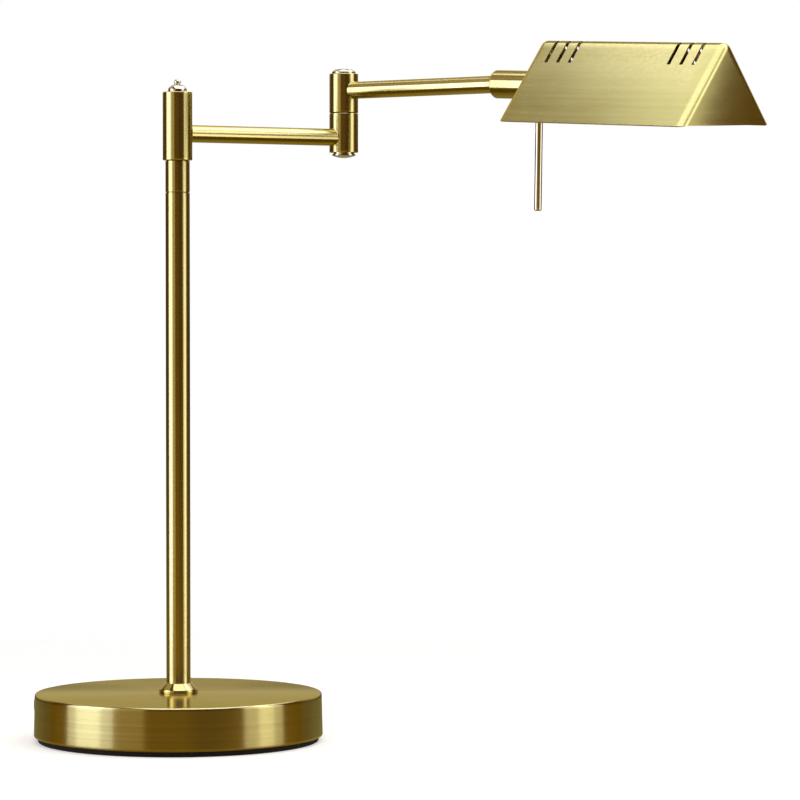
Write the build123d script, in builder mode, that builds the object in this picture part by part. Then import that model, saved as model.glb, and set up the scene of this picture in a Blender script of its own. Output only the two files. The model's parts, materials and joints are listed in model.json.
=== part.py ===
from build123d import *
from math import asin, cos, hypot, radians, sin
import os

# Swing arm desk lamp, millimetres, in the pose it is stored in.
# Origin: centre of the base's underside. +Z: up. +X: plan direction of the upper arm, elbow to head.

# ---- clearances ----
running_gap = 0.05        # radial, shaft in bush
turning_gap = 0.3         # between faces that turn past each other
thread_gap = 0.05         # radial, nipple or stud in its hole
drop_in_gap = 0.15        # a plate laid in its seat
weight_gap = 0.6          # iron disc inside the spun cover

# ---- base ----
base_top_radius = 95.0
base_bottom_radius = 95.7
base_height = 31.8        # table to the top of the cover
cover_wall = 1.2
cover_rim_fillet = 1.4
cover_foot_fillet = 0.8
pad_radius = 93.0
pad_height = 3.6
weight_height = 12.0
weight_chamfer = 1.0
nut_pocket_radius = 15.0
nut_pocket_depth = 7.0
nipple_radius = 5.0
nipple_bore_radius = 3.5
nipple_tail = 0.7         # thread showing past the nut
nipple_reach = 12.0       # thread above the cover
washer_radius = 11.0
washer_thickness = 1.5
base_nut_flats = 14.0
base_nut_height = 4.0
spacer_radius = 8.0

# ---- cord inlet in the base's side ----
inlet_angle = 220.0
inlet_height = 23.5
inlet_hole_radius = 3.6
inlet_bore_radius = 2.9
grommet_flange_radius = 4.6
grommet_flange_thickness = 1.2
grommet_proud = 0.6       # flange beyond the cover's top radius
lead_way_radius = 3.3     # cross hole from the base's hollow to the nipple

# ---- pole ----
pole_radius = 8.0
pole_wall = 1.2
pole_top = 363.1
foot_flange = 5.0         # collar's foot beyond the pole
foot_lip = 0.75           # collar's top beyond the pole
foot_step_height = 2.3
foot_height = 6.6
foot_plug_height = 15.0
top_plug_height = 12.0

# ---- rotary dimmer sleeve, and the spindle that carries the arms ----
hub_bottom = 384.3
hub_height = 45.0
hub_radius = 9.75
hub_bore_radius = 8.0
hub_cap_wall = 1.5
bush_height = 8.0
spindle_radius = 5.0
spindle_bore_radius = 3.3
spindle_seat_depth = 10.0
spindle_flange_radius = 6.65
spindle_flange_height = 2.5
stud_radius = 3.0
stud_height = 3.4
sleeve_bush_height = 4.0
track_radius = 6.2
track_height = 5.0
wiper_inner_radius = 5.6
wiper_height = 3.0
lead_hole_radius = 2.3

# ---- finial ----
finial_radius = 6.3
finial_dome_height = 4.9
finial_neck_radius = 1.5
finial_ball_radius = 2.15
finial_ball_rise = 6.2

# ---- arms ----
arm_radius = 5.75
arm_wall = 1.0
lower_arm_height = 402.0
lower_arm_length = 132.6  # pole axis to elbow axis
lower_arm_angle = 75.61   # plan angle from +X
upper_arm_height = 433.8

# ---- elbow ----
elbow_radius = 9.75
elbow_bottom = 391.8
elbow_seam = 418.7
elbow_top = 445.3
elbow_chamfer = 0.5
elbow_pin_radius = 4.5
elbow_pin_bore_radius = 3.0
elbow_bush_radius = 7.0
upper_cap_radius = 8.05
upper_cap_flat_radius = 5.8
upper_cap_height = 2.7
upper_cap_bevel_height = 1.6
lower_cap_neck_radius = 7.0
lower_cap_neck_height = 0.9
lower_cap_radius = 7.9
lower_cap_rim_height = 1.2
lower_cap_height = 3.7
cap_wall = 1.0

# ---- head swivel: its axis droops, and the shade is a little turned about it ----
swivel_start = 134.8      # elbow axis to the open end of the head collar
head_droop = 2.87         # degrees, outer end down
head_roll = 2.27          # degrees about the axis, far side up
collar_length = 38.3
collar_wall = 2.35        # round the mouth
collar_mouth_gap = 1.15   # radial, round the arm tube, which the droop needs
collar_mouth_depth = 9.0
collar_web = 15.0
collar_rear_radius = 6.5
arm_entry = 6.0           # arm tube inside the collar
arm_plug_length = 12.0
head_pin_radius = 3.5
head_pin_bore_radius = 2.0
head_pin_tail = 4.0
head_pin_reach = 31.0
head_washer_radius = 6.0
head_washer_thickness = 1.2
head_nut_flats = 10.0
head_nut_height = 4.5

# ---- handle rod ----
handle_radius = 2.45
handle_length = 72.5      # below the collar
handle_from_shade = 2.7
handle_tip_fillet = 0.9

# ---- shade ----
shade_length = 147.9
shade_width = 94.1
shade_apex_rise = 32.4    # sharp apex above the swivel axis
shade_drop = 22.5         # open edge below the swivel axis
shade_wall = 1.0
ridge_radius = 6.6
end_edge_fillet = 0.6
vent_width = 2.7
vent_pitch = 9.7
vent_count = 3
vent_reach = 22.8         # down the slope from the sharp apex
first_vent_inner = 13.7
first_vent_outer = 16.3
shade_nipple_bore_radius = 5.0
shade_nipple_start = 31.5
shade_nut_flats = 18.0
shade_nut_height = 4.0
shade_nipple_tail = 1.5

# ---- light unit under the ridge ----
tray_start = 15.0         # from the shade's inner face
tray_end = 12.0           # to the shade's outer face
tray_top = 12.0           # above the swivel axis
tray_bottom = 1.0
tray_top_half = 12.0
tray_bottom_half = 21.5
tray_wall = 1.0
tray_lip = 3.0
tray_lip_height = 0.8
tray_cap_thickness = 1.5
bracket_thickness = 1.5
bracket_half_width = 8.0
bracket_leg_end = 38.6    # from the shade's inner face
bracket_foot = 11.0       # below the swivel axis
screw_radius = 1.5
screw_head_radius = 2.75
screw_head_height = 1.8
screw_positions = (22.0, 33.0)
board_thickness = 1.6
board_half_width = 10.0
board_margin = 2.0
chip_length = 3.5
chip_width = 2.8
chip_height = 0.8
chip_columns = 12
chip_row_spacing = 10.0
chip_end_margin = 10.0
diffuser_thickness = 2.0

# ---- leads ----
lead_radius = 1.4
lead_bend_start = 43.0
lead_bend_radius = 12.0
lead_end_rise = 8.0
lead_end = 60.0

os.makedirs("parts", exist_ok=True)


def save(piece, node):
    """Labels a finished piece and writes its STEP file."""
    piece.part.label = node
    export_step(piece.part, f"parts/{node}.step")


# ---- frames ----
elbow_x = lower_arm_length * cos(radians(lower_arm_angle))
elbow_y = lower_arm_length * sin(radians(lower_arm_angle))
elbow = Plane(origin=(elbow_x, elbow_y, 0))
lower_arm_way = Vector(cos(radians(lower_arm_angle)), sin(radians(lower_arm_angle)), 0)
lower_arm_axis = Plane(origin=(0, 0, lower_arm_height), z_dir=lower_arm_way)
upper_arm_axis = Plane(origin=(elbow_x, elbow_y, upper_arm_height), x_dir=(0, 1, 0), z_dir=(1, 0, 0))
inlet_way = Vector(cos(radians(inlet_angle)), sin(radians(inlet_angle)), 0)
inlet_axis = Plane(origin=(0, 0, inlet_height), z_dir=inlet_way)

droop = radians(head_droop)
roll = radians(head_roll)
head_along = Vector(cos(droop), 0, -sin(droop))
head_across = Vector(sin(roll) * sin(droop), cos(roll), sin(roll) * cos(droop))
head_up = head_along.cross(head_across)
swivel = Vector(elbow_x + swivel_start, elbow_y, upper_arm_height)


def across_head(distance):
    """Plane square to the swivel axis, its Y upwards, at a distance from the collar's open end."""
    return Plane(origin=swivel + head_along * distance, x_dir=head_across, z_dir=head_along)


def level_in_head(rise):
    """Plane along the head, its X outwards along the swivel axis, at a rise above that axis."""
    return Plane(origin=swivel + head_up * rise, x_dir=head_along, z_dir=head_up)


head_side = Plane(origin=swivel, x_dir=head_along, z_dir=-head_across)
shade_start = collar_length
shade_stop = shade_start + shade_length

# ---- heights and lengths that follow ----
weight_top = pad_height + weight_height
cover_underside = base_height - cover_wall
pocket_roof = pad_height + nut_pocket_depth
nipple_bottom = pocket_roof - washer_thickness - base_nut_height - nipple_tail
pole_bore_radius = pole_radius - pole_wall
foot_radius = pole_radius + foot_flange
foot_lip_radius = pole_radius + foot_lip
sleeve_bottom = pole_top + turning_gap
sleeve_top = hub_bottom - turning_gap
sleeve_bore_radius = spindle_flange_radius + running_gap
hub_top = hub_bottom + hub_height
finial_seat = hub_top + turning_gap
spindle_bottom = pole_top - spindle_seat_depth
arm_bore_radius = arm_radius - arm_wall
collar_mouth_radius = arm_radius + collar_mouth_gap
collar_radius = collar_mouth_radius + collar_wall
lower_barrel_top = elbow_seam - turning_gap / 2
upper_barrel_bottom = elbow_seam + turning_gap / 2
upper_cap_seat = elbow_top + turning_gap
elbow_pin_bottom = elbow_bottom - lower_cap_height + 2 * cap_wall
elbow_pin_top = upper_cap_seat + upper_cap_height - cap_wall

# ================= stand =================

with BuildPart() as base_cover:
    with BuildSketch(Plane.XZ) as cover_outline:
        with BuildLine():
            Polyline(
                (0, pad_height),
                (base_bottom_radius, pad_height),
                (base_top_radius, base_height),
                (0, base_height),
                close=True,
            )
        make_face()
    revolve(axis=Axis.Z)
    fillet(base_cover.edges().group_by(Axis.Z)[-1], cover_rim_fillet)
    with BuildSketch(Plane.XZ) as cover_hollow:
        with BuildLine():
            Polyline(
                (0, pad_height),
                (base_bottom_radius - cover_wall, pad_height),
                (base_top_radius - cover_wall, cover_underside),
                (0, cover_underside),
                close=True,
            )
        make_face()
    revolve(axis=Axis.Z, mode=Mode.SUBTRACT)
    foot_edges = base_cover.edges().filter_by(GeomType.CIRCLE).group_by(Axis.Z)[0]
    fillet(foot_edges.sort_by(SortBy.RADIUS)[-1], cover_foot_fillet)
    with BuildSketch(Plane.XY.offset(base_height)):
        Circle(nipple_radius + thread_gap)
    extrude(amount=-2 * cover_wall, mode=Mode.SUBTRACT)
    with BuildSketch(inlet_axis):
        Circle(inlet_hole_radius)
    extrude(amount=base_bottom_radius + cover_wall, mode=Mode.SUBTRACT)
save(base_cover, "base_cover")

with BuildPart() as base_weight:
    with BuildSketch(Plane.XY.offset(pad_height)):
        Circle(base_top_radius - cover_wall - weight_gap)
        Circle(nipple_radius + thread_gap, mode=Mode.SUBTRACT)
    extrude(amount=weight_height)
    rim_edges = base_weight.edges().filter_by(GeomType.CIRCLE).sort_by(SortBy.RADIUS)[-2:]
    chamfer(rim_edges, weight_chamfer)
    with BuildSketch(Plane.XY.offset(pad_height)):
        Circle(nut_pocket_radius)
    extrude(amount=nut_pocket_depth, mode=Mode.SUBTRACT)
save(base_weight, "base_weight")

with BuildPart() as base_pad:
    with BuildSketch():
        Circle(pad_radius)
    extrude(amount=pad_height)
    fillet(base_pad.edges().group_by(Axis.Z)[0], cover_foot_fillet)
save(base_pad, "base_pad")

with BuildPart() as base_spacer:
    with BuildSketch(Plane.XY.offset(weight_top)):
        Circle(spacer_radius)
        Circle(nipple_radius + thread_gap, mode=Mode.SUBTRACT)
    extrude(amount=cover_underside - weight_top)
    with BuildSketch(inlet_axis):
        Circle(lead_way_radius)
    extrude(amount=spacer_radius + cover_wall, mode=Mode.SUBTRACT)
save(base_spacer, "base_spacer")

with BuildPart() as base_nipple:
    with BuildSketch(Plane.XY.offset(nipple_bottom)):
        Circle(nipple_radius)
        Circle(nipple_bore_radius, mode=Mode.SUBTRACT)
    extrude(amount=base_height + nipple_reach - nipple_bottom)
    with BuildSketch(inlet_axis):
        Circle(lead_way_radius)
    extrude(amount=spacer_radius, mode=Mode.SUBTRACT)
save(base_nipple, "base_nipple")

with BuildPart() as base_washer:
    with BuildSketch(Plane.XY.offset(pocket_roof - washer_thickness)):
        Circle(washer_radius)
        Circle(nipple_radius + thread_gap, mode=Mode.SUBTRACT)
    extrude(amount=washer_thickness)
save(base_washer, "base_washer")

with BuildPart() as base_nut:
    with BuildSketch(Plane.XY.offset(nipple_bottom + nipple_tail)):
        RegularPolygon(base_nut_flats / 2, 6, major_radius=False)
        Circle(nipple_radius, mode=Mode.SUBTRACT)
    extrude(amount=base_nut_height)
save(base_nut, "base_nut")

with BuildPart() as cord_grommet:
    flange_start = base_top_radius - cover_wall - 2 * grommet_flange_thickness
    flange_stop = base_top_radius + grommet_proud
    with BuildSketch(inlet_axis.offset(flange_start)):
        Circle(grommet_flange_radius)
    extrude(amount=flange_stop - flange_start)
    fillet(cord_grommet.edges().sort_by(Axis((0, 0, 0), inlet_way))[-1], grommet_proud / 2)
    with BuildSketch(inlet_axis.offset(flange_start)):
        Circle(inlet_bore_radius)
    extrude(amount=flange_stop - flange_start, mode=Mode.SUBTRACT)
    add(base_cover.part, mode=Mode.SUBTRACT)
save(cord_grommet, "cord_grommet")

with BuildPart() as foot_collar:
    with BuildSketch(Plane.XZ):
        with BuildLine():
            Polyline(
                (pole_radius + thread_gap, base_height),
                (foot_radius, base_height),
                (foot_radius, base_height + foot_step_height),
                (foot_lip_radius, base_height + foot_height),
                (pole_radius + thread_gap, base_height + foot_height),
                close=True,
            )
        make_face()
    revolve(axis=Axis.Z)
save(foot_collar, "foot_collar")

with BuildPart() as pole_tube:
    with BuildSketch(Plane.XY.offset(base_height)):
        Circle(pole_radius)
        Circle(pole_bore_radius, mode=Mode.SUBTRACT)
    extrude(amount=pole_top - base_height)
save(pole_tube, "pole_tube")

with BuildPart() as pole_foot_plug:
    with BuildSketch(Plane.XY.offset(base_height)):
        Circle(pole_bore_radius)
        Circle(nipple_radius, mode=Mode.SUBTRACT)
    extrude(amount=foot_plug_height)
save(pole_foot_plug, "pole_foot_plug")

with BuildPart() as pole_top_plug:
    with BuildSketch(Plane.XY.offset(pole_top - top_plug_height)):
        Circle(pole_bore_radius)
        Circle(spindle_radius, mode=Mode.SUBTRACT)
    extrude(amount=top_plug_height)
save(pole_top_plug, "pole_top_plug")

with BuildPart() as swivel_spindle:
    with BuildSketch(Plane.XY.offset(spindle_bottom)):
        Circle(spindle_radius)
    extrude(amount=hub_top - spindle_bottom)
    with BuildSketch(Plane.XY.offset(hub_bottom - spindle_flange_height)):
        Circle(spindle_flange_radius)
    extrude(amount=spindle_flange_height - running_gap)
    with BuildSketch(Plane.XY.offset(spindle_bottom)):
        Circle(spindle_bore_radius)
    extrude(amount=hub_top - hub_cap_wall - spindle_bottom, mode=Mode.SUBTRACT)
    with BuildSketch(Plane.XY.offset(hub_top)):
        Circle(stud_radius)
    extrude(amount=stud_height)
    with BuildSketch(lower_arm_axis):
        Circle(lead_hole_radius)
    extrude(amount=2 * spindle_radius, mode=Mode.SUBTRACT)
save(swivel_spindle, "swivel_spindle")

track_bottom = sleeve_bottom + sleeve_bush_height + 3 * turning_gap

with BuildPart() as dimmer_bush:
    with BuildSketch(Plane.XY.offset(sleeve_bottom)):
        Circle(spindle_flange_radius)
        Circle(spindle_radius, mode=Mode.SUBTRACT)
    extrude(amount=sleeve_bush_height)
save(dimmer_bush, "dimmer_bush")

with BuildPart() as dimmer_track:
    with BuildSketch(Plane.XY.offset(track_bottom)):
        Circle(track_radius)
        Circle(spindle_radius, mode=Mode.SUBTRACT)
    extrude(amount=track_height)
save(dimmer_track, "dimmer_track")

with BuildPart() as finial:
    with BuildSketch(Plane.XZ):
        with BuildLine():
            ball_foot = finial_ball_rise - (finial_ball_radius**2 - finial_neck_radius**2) ** 0.5
            dome_flat = 0.8
            Line((0, 0), (finial_radius, 0))
            Line((finial_radius, 0), (finial_radius, dome_flat))
            Spline(
                (finial_radius, dome_flat),
                (finial_neck_radius, ball_foot),
                tangents=[(-0.1, 1), (-0.35, 1)],
            )
            ThreePointArc(
                (finial_neck_radius, ball_foot),
                (finial_ball_radius, finial_ball_rise),
                (0, finial_ball_rise + finial_ball_radius),
            )
            Line((0, finial_ball_rise + finial_ball_radius), (0, 0))
        make_face()
    revolve(axis=Axis.Z)
    with BuildSketch():
        Circle(stud_radius)
    extrude(amount=stud_height - turning_gap, mode=Mode.SUBTRACT)
finial.part = finial.part.moved(Location((0, 0, finial_seat)))
save(finial, "finial")

with BuildPart() as pole_lead:
    with BuildSketch(Plane.XY.offset(inlet_height)):
        Circle(lead_radius)
    extrude(amount=lower_arm_height - inlet_height)
save(pole_lead, "pole_lead")

# ================= dimmer =================

with BuildPart() as dimmer_sleeve:
    with BuildSketch(Plane.XY.offset(sleeve_bottom)):
        Circle(pole_radius)
        Circle(sleeve_bore_radius, mode=Mode.SUBTRACT)
    extrude(amount=sleeve_top - sleeve_bottom)
save(dimmer_sleeve, "dimmer_sleeve")

with BuildPart() as dimmer_wiper:
    with BuildSketch(Plane.XY.offset(track_bottom + track_height + turning_gap)):
        Circle(sleeve_bore_radius)
        Circle(wiper_inner_radius, mode=Mode.SUBTRACT)
    extrude(amount=wiper_height)
save(dimmer_wiper, "dimmer_wiper")

# ================= lower arm =================

with BuildPart() as hub_barrel:
    with BuildSketch(Plane.XY.offset(hub_bottom)):
        Circle(hub_radius)
    extrude(amount=hub_height)
    chamfer(hub_barrel.edges(), elbow_chamfer)
    with BuildSketch(Plane.XY.offset(hub_bottom)):
        Circle(hub_bore_radius)
    extrude(amount=hub_height - hub_cap_wall, mode=Mode.SUBTRACT)
    with BuildSketch(Plane.XY.offset(hub_top)):
        Circle(spindle_radius + turning_gap)
    extrude(amount=-2 * hub_cap_wall, mode=Mode.SUBTRACT)
    with BuildSketch(lower_arm_axis):
        Circle(lead_hole_radius)
    extrude(amount=2 * hub_radius, mode=Mode.SUBTRACT)
save(hub_barrel, "hub_barrel")

with BuildPart() as hub_bushes:
    for bush_bottom in (hub_bottom, hub_top - hub_cap_wall - bush_height):
        with BuildSketch(Plane.XY.offset(bush_bottom)):
            Circle(hub_bore_radius)
            Circle(spindle_radius + running_gap, mode=Mode.SUBTRACT)
        extrude(amount=bush_height)
save(hub_bushes, "hub_bushes")

with BuildPart() as lower_arm_tube:
    with BuildSketch(lower_arm_axis):
        Circle(arm_radius)
        Circle(arm_bore_radius, mode=Mode.SUBTRACT)
    extrude(amount=lower_arm_length)
    with BuildSketch(Plane.XY.offset(hub_bottom)):
        Circle(hub_radius)
    extrude(amount=hub_height, mode=Mode.SUBTRACT)
    with BuildSketch(elbow.offset(elbow_bottom)):
        Circle(elbow_radius)
    extrude(amount=elbow_top - elbow_bottom, mode=Mode.SUBTRACT)
save(lower_arm_tube, "lower_arm_tube")

with BuildPart() as elbow_lower_barrel:
    with BuildSketch(elbow.offset(elbow_bottom)):
        Circle(elbow_radius)
    extrude(amount=lower_barrel_top - elbow_bottom)
    chamfer(elbow_lower_barrel.edges(), elbow_chamfer)
    with BuildSketch(elbow.offset(elbow_bottom)):
        Circle(elbow_pin_radius)
    extrude(amount=elbow_seam - elbow_bottom, mode=Mode.SUBTRACT)
    with BuildSketch(lower_arm_axis.offset(lower_arm_length - 2 * elbow_radius)):
        Circle(lead_hole_radius)
    extrude(amount=2 * elbow_radius, mode=Mode.SUBTRACT)
save(elbow_lower_barrel, "elbow_lower_barrel")

with BuildPart() as elbow_pin:
    with BuildSketch(elbow.offset(elbow_pin_bottom)):
        Circle(elbow_pin_radius)
        Circle(elbow_pin_bore_radius, mode=Mode.SUBTRACT)
    extrude(amount=elbow_pin_top - elbow_pin_bottom)
    with BuildSketch(lower_arm_axis.offset(lower_arm_length - 2 * elbow_pin_radius)):
        Circle(lead_hole_radius)
    extrude(amount=2 * elbow_pin_radius, mode=Mode.SUBTRACT)
    with BuildSketch(upper_arm_axis):
        Circle(lead_hole_radius)
    extrude(amount=2 * elbow_pin_radius, mode=Mode.SUBTRACT)
save(elbow_pin, "elbow_pin")

with BuildPart() as elbow_upper_cap:
    with BuildSketch(elbow.offset(upper_cap_seat)):
        Circle(upper_cap_radius)
    extrude(amount=upper_cap_height)
    cap_bevel = upper_cap_radius - upper_cap_flat_radius
    cap_top_edge = elbow_upper_cap.edges().group_by(Axis.Z)[-1]
    cap_side = elbow_upper_cap.faces().filter_by(GeomType.CYLINDER)[0]
    chamfer(cap_top_edge, upper_cap_bevel_height, cap_bevel, reference=cap_side)
    with BuildSketch(elbow.offset(upper_cap_seat)):
        Circle(elbow_pin_radius)
    extrude(amount=upper_cap_height - cap_wall, mode=Mode.SUBTRACT)
save(elbow_upper_cap, "elbow_upper_cap")

with BuildPart() as elbow_lower_cap:
    rim_top = elbow_bottom - lower_cap_neck_height
    rim_bottom = rim_top - lower_cap_rim_height
    cap_bottom = elbow_bottom - lower_cap_height
    crown = rim_bottom - cap_bottom
    crown_radius = (lower_cap_radius**2 + crown**2) / (2 * crown)
    half_arc = asin(lower_cap_radius / crown_radius) / 2
    crown_middle = (crown_radius * sin(half_arc), cap_bottom + crown_radius * (1 - cos(half_arc)))
    with BuildSketch(Plane(origin=(elbow_x, elbow_y, 0), x_dir=(1, 0, 0), z_dir=(0, -1, 0))):
        with BuildLine():
            Polyline(
                (0, cap_bottom),
                (0, elbow_bottom),
                (lower_cap_neck_radius, elbow_bottom),
                (lower_cap_neck_radius, rim_top),
                (lower_cap_radius, rim_top),
                (lower_cap_radius, rim_bottom),
            )
            ThreePointArc((lower_cap_radius, rim_bottom), crown_middle, (0, cap_bottom))
        make_face()
    revolve(axis=Axis((elbow_x, elbow_y, 0), (0, 0, 1)))
    with BuildSketch(elbow.offset(elbow_bottom)):
        Circle(elbow_pin_radius)
    extrude(amount=elbow_pin_bottom - elbow_bottom, mode=Mode.SUBTRACT)
save(elbow_lower_cap, "elbow_lower_cap")

with BuildPart() as lower_arm_lead:
    with BuildSketch(lower_arm_axis.offset(spindle_radius + running_gap)):
        Circle(lead_radius)
    extrude(amount=lower_arm_length - spindle_radius - running_gap)
save(lower_arm_lead, "lower_arm_lead")

# ================= upper arm =================

with BuildPart() as elbow_upper_barrel:
    with BuildSketch(elbow.offset(upper_barrel_bottom)):
        Circle(elbow_radius)
    extrude(amount=elbow_top - upper_barrel_bottom)
    chamfer(elbow_upper_barrel.edges(), elbow_chamfer)
    with BuildSketch(elbow.offset(upper_barrel_bottom)):
        Circle(elbow_bush_radius)
    extrude(amount=elbow_top - upper_barrel_bottom, mode=Mode.SUBTRACT)
    with BuildSketch(upper_arm_axis):
        Circle(lead_hole_radius)
    extrude(amount=2 * elbow_radius, mode=Mode.SUBTRACT)
save(elbow_upper_barrel, "elbow_upper_barrel")

with BuildPart() as elbow_bushes:
    for bush_bottom in (upper_barrel_bottom, elbow_top - bush_height / 2):
        with BuildSketch(elbow.offset(bush_bottom)):
            Circle(elbow_bush_radius)
            Circle(elbow_pin_radius + running_gap, mode=Mode.SUBTRACT)
        extrude(amount=bush_height / 2)
save(elbow_bushes, "elbow_bushes")

with BuildPart() as upper_arm_tube:
    with BuildSketch(upper_arm_axis):
        Circle(arm_radius)
        Circle(arm_bore_radius, mode=Mode.SUBTRACT)
    extrude(amount=swivel_start + arm_entry)
    with BuildSketch(elbow.offset(upper_barrel_bottom)):
        Circle(elbow_radius)
    extrude(amount=elbow_top - upper_barrel_bottom, mode=Mode.SUBTRACT)
save(upper_arm_tube, "upper_arm_tube")

with BuildPart() as head_pin:
    with BuildSketch(across_head(-head_pin_tail)):
        Circle(head_pin_radius)
        Circle(head_pin_bore_radius, mode=Mode.SUBTRACT)
    extrude(amount=head_pin_tail + head_pin_reach)
save(head_pin, "head_pin")

with BuildPart() as arm_end_plug:
    with BuildSketch(upper_arm_axis.offset(swivel_start + arm_entry - arm_plug_length)):
        Circle(arm_bore_radius)
    extrude(amount=arm_plug_length)
    with BuildSketch(across_head(-arm_plug_length)):
        Circle(head_pin_bore_radius)
    extrude(amount=2 * arm_plug_length, mode=Mode.SUBTRACT)
    with BuildSketch(across_head(-head_pin_tail)):
        Circle(head_pin_radius)
    extrude(amount=2 * arm_plug_length, mode=Mode.SUBTRACT)
save(arm_end_plug, "arm_end_plug")

web_stop = collar_mouth_depth + collar_web
with BuildPart() as head_washers:
    for washer_start in (collar_mouth_depth - running_gap - head_washer_thickness, web_stop + running_gap):
        with BuildSketch(across_head(washer_start)):
            Circle(head_washer_radius)
            Circle(head_pin_radius, mode=Mode.SUBTRACT)
        extrude(amount=head_washer_thickness)
save(head_washers, "head_washers")

with BuildPart() as head_pin_nut:
    with BuildSketch(across_head(web_stop + running_gap + head_washer_thickness)):
        RegularPolygon(head_nut_flats / 2, 6, major_radius=False)
        Circle(head_pin_radius, mode=Mode.SUBTRACT)
    extrude(amount=head_nut_height)
save(head_pin_nut, "head_pin_nut")

with BuildPart() as upper_arm_lead:
    lead_stop = swivel_start + arm_entry - arm_plug_length - head_pin_tail
    with BuildSketch(upper_arm_axis.offset(elbow_pin_radius + running_gap)):
        Circle(lead_radius)
    extrude(amount=lead_stop - elbow_pin_radius - running_gap)
save(upper_arm_lead, "upper_arm_lead")

# ================= head =================

with BuildPart() as head_collar:
    with BuildSketch(across_head(0)):
        Circle(collar_radius)
    extrude(amount=collar_length)
    chamfer(head_collar.edges(), elbow_chamfer / 2)
    with BuildSketch(across_head(0)):
        Circle(collar_mouth_radius)
    extrude(amount=collar_mouth_depth, mode=Mode.SUBTRACT)
    with BuildSketch(across_head(0)):
        Circle(head_pin_radius + running_gap)
    extrude(amount=collar_length, mode=Mode.SUBTRACT)
    with BuildSketch(across_head(web_stop)):
        Circle(collar_rear_radius)
    extrude(amount=collar_length - web_stop, mode=Mode.SUBTRACT)
    with BuildSketch(level_in_head(0)):
        with Locations((collar_length - handle_from_shade, 0)):
            Circle(handle_radius)
    extrude(amount=-2 * collar_radius, mode=Mode.SUBTRACT)
save(head_collar, "head_collar")

with BuildPart() as handle_rod:
    with BuildSketch(level_in_head(-collar_rear_radius - thread_gap)):
        with Locations((collar_length - handle_from_shade, 0)):
            Circle(handle_radius)
    extrude(amount=-(collar_radius - collar_rear_radius - thread_gap + handle_length))
    fillet(handle_rod.edges().sort_by(Axis.Z)[0], handle_tip_fillet)
save(handle_rod, "handle_rod")

shade_nipple_stop = shade_start + shade_wall + bracket_thickness + shade_nut_height + shade_nipple_tail
with BuildPart() as shade_nipple:
    with BuildSketch(across_head(shade_nipple_start)):
        Circle(collar_rear_radius)
        Circle(shade_nipple_bore_radius, mode=Mode.SUBTRACT)
    extrude(amount=shade_nipple_stop - shade_nipple_start)
save(shade_nipple, "shade_nipple")

with BuildPart() as shade_nut:
    with BuildSketch(across_head(shade_start + shade_wall + bracket_thickness)):
        RegularPolygon(shade_nut_flats / 2, 6, major_radius=False)
        Circle(collar_rear_radius, mode=Mode.SUBTRACT)
    extrude(amount=shade_nut_height)
save(shade_nut, "shade_nut")

half_width = shade_width / 2
shade_height = shade_apex_rise + shade_drop
slope_length = hypot(half_width, shade_height)
wall_across = shade_wall * slope_length / shade_height    # wall measured level
wall_down = shade_wall * slope_length / half_width        # wall measured upright


def shade_outline(distance, depth):
    """Solid wedge with the shade's rounded outer section, as a private piece."""
    with BuildPart(mode=Mode.PRIVATE) as wedge:
        with BuildSketch(across_head(distance)) as section:
            with BuildLine():
                Polyline(
                    (-half_width, -shade_drop),
                    (half_width, -shade_drop),
                    (0, shade_apex_rise),
                    close=True,
                )
            make_face()
            fillet(section.vertices().sort_by(Axis.Y)[-1], ridge_radius)
        extrude(amount=depth)
    return wedge.part


with BuildPart() as shade_sheet:
    sheet_start = shade_start + shade_wall
    sheet_length = shade_length - 2 * shade_wall
    add(shade_outline(sheet_start, sheet_length))
    with BuildSketch(across_head(sheet_start)) as hollow:
        with BuildLine():
            Polyline(
                (-half_width + wall_across, -shade_drop),
                (half_width - wall_across, -shade_drop),
                (0, shade_apex_rise - wall_down),
                close=True,
            )
        make_face()
        fillet(hollow.vertices().sort_by(Axis.Y)[-1], ridge_radius - shade_wall)
    extrude(amount=sheet_length, mode=Mode.SUBTRACT)
    vent_foot = shade_apex_rise - vent_reach * shade_height / slope_length
    vent_places = []
    for index in range(vent_count):
        vent_places.append((shade_start + first_vent_inner + index * vent_pitch, 0))
        vent_places.append((shade_stop - first_vent_outer - index * vent_pitch, 0))
    with BuildSketch(level_in_head(vent_foot)):
        with Locations(*vent_places):
            Rectangle(vent_width, shade_width)
    extrude(amount=shade_height, mode=Mode.SUBTRACT)
save(shade_sheet, "shade_sheet")

with BuildPart() as shade_inner_end:
    add(shade_outline(shade_start, shade_wall))
    with BuildSketch(across_head(shade_start)):
        Circle(collar_rear_radius + thread_gap)
    extrude(amount=shade_wall, mode=Mode.SUBTRACT)
save(shade_inner_end, "shade_inner_end")

with BuildPart() as shade_outer_end:
    add(shade_outline(shade_stop - shade_wall, shade_wall))
    outer_face = shade_outer_end.faces().sort_by(Axis((0, 0, 0), head_along))[-1]
    fillet(outer_face.edges(), end_edge_fillet)
save(shade_outer_end, "shade_outer_end")

tray_slope = (tray_bottom_half - tray_top_half) / (tray_top - tray_bottom)
tray_wall_across = tray_wall * hypot(1, tray_slope)
tray_left = shade_start + tray_start
tray_right = shade_stop - tray_end


def tray_half_width(rise):
    """Outer half width of the light tray at a rise above the swivel axis."""
    return tray_bottom_half - tray_slope * (rise - tray_bottom)


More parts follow.
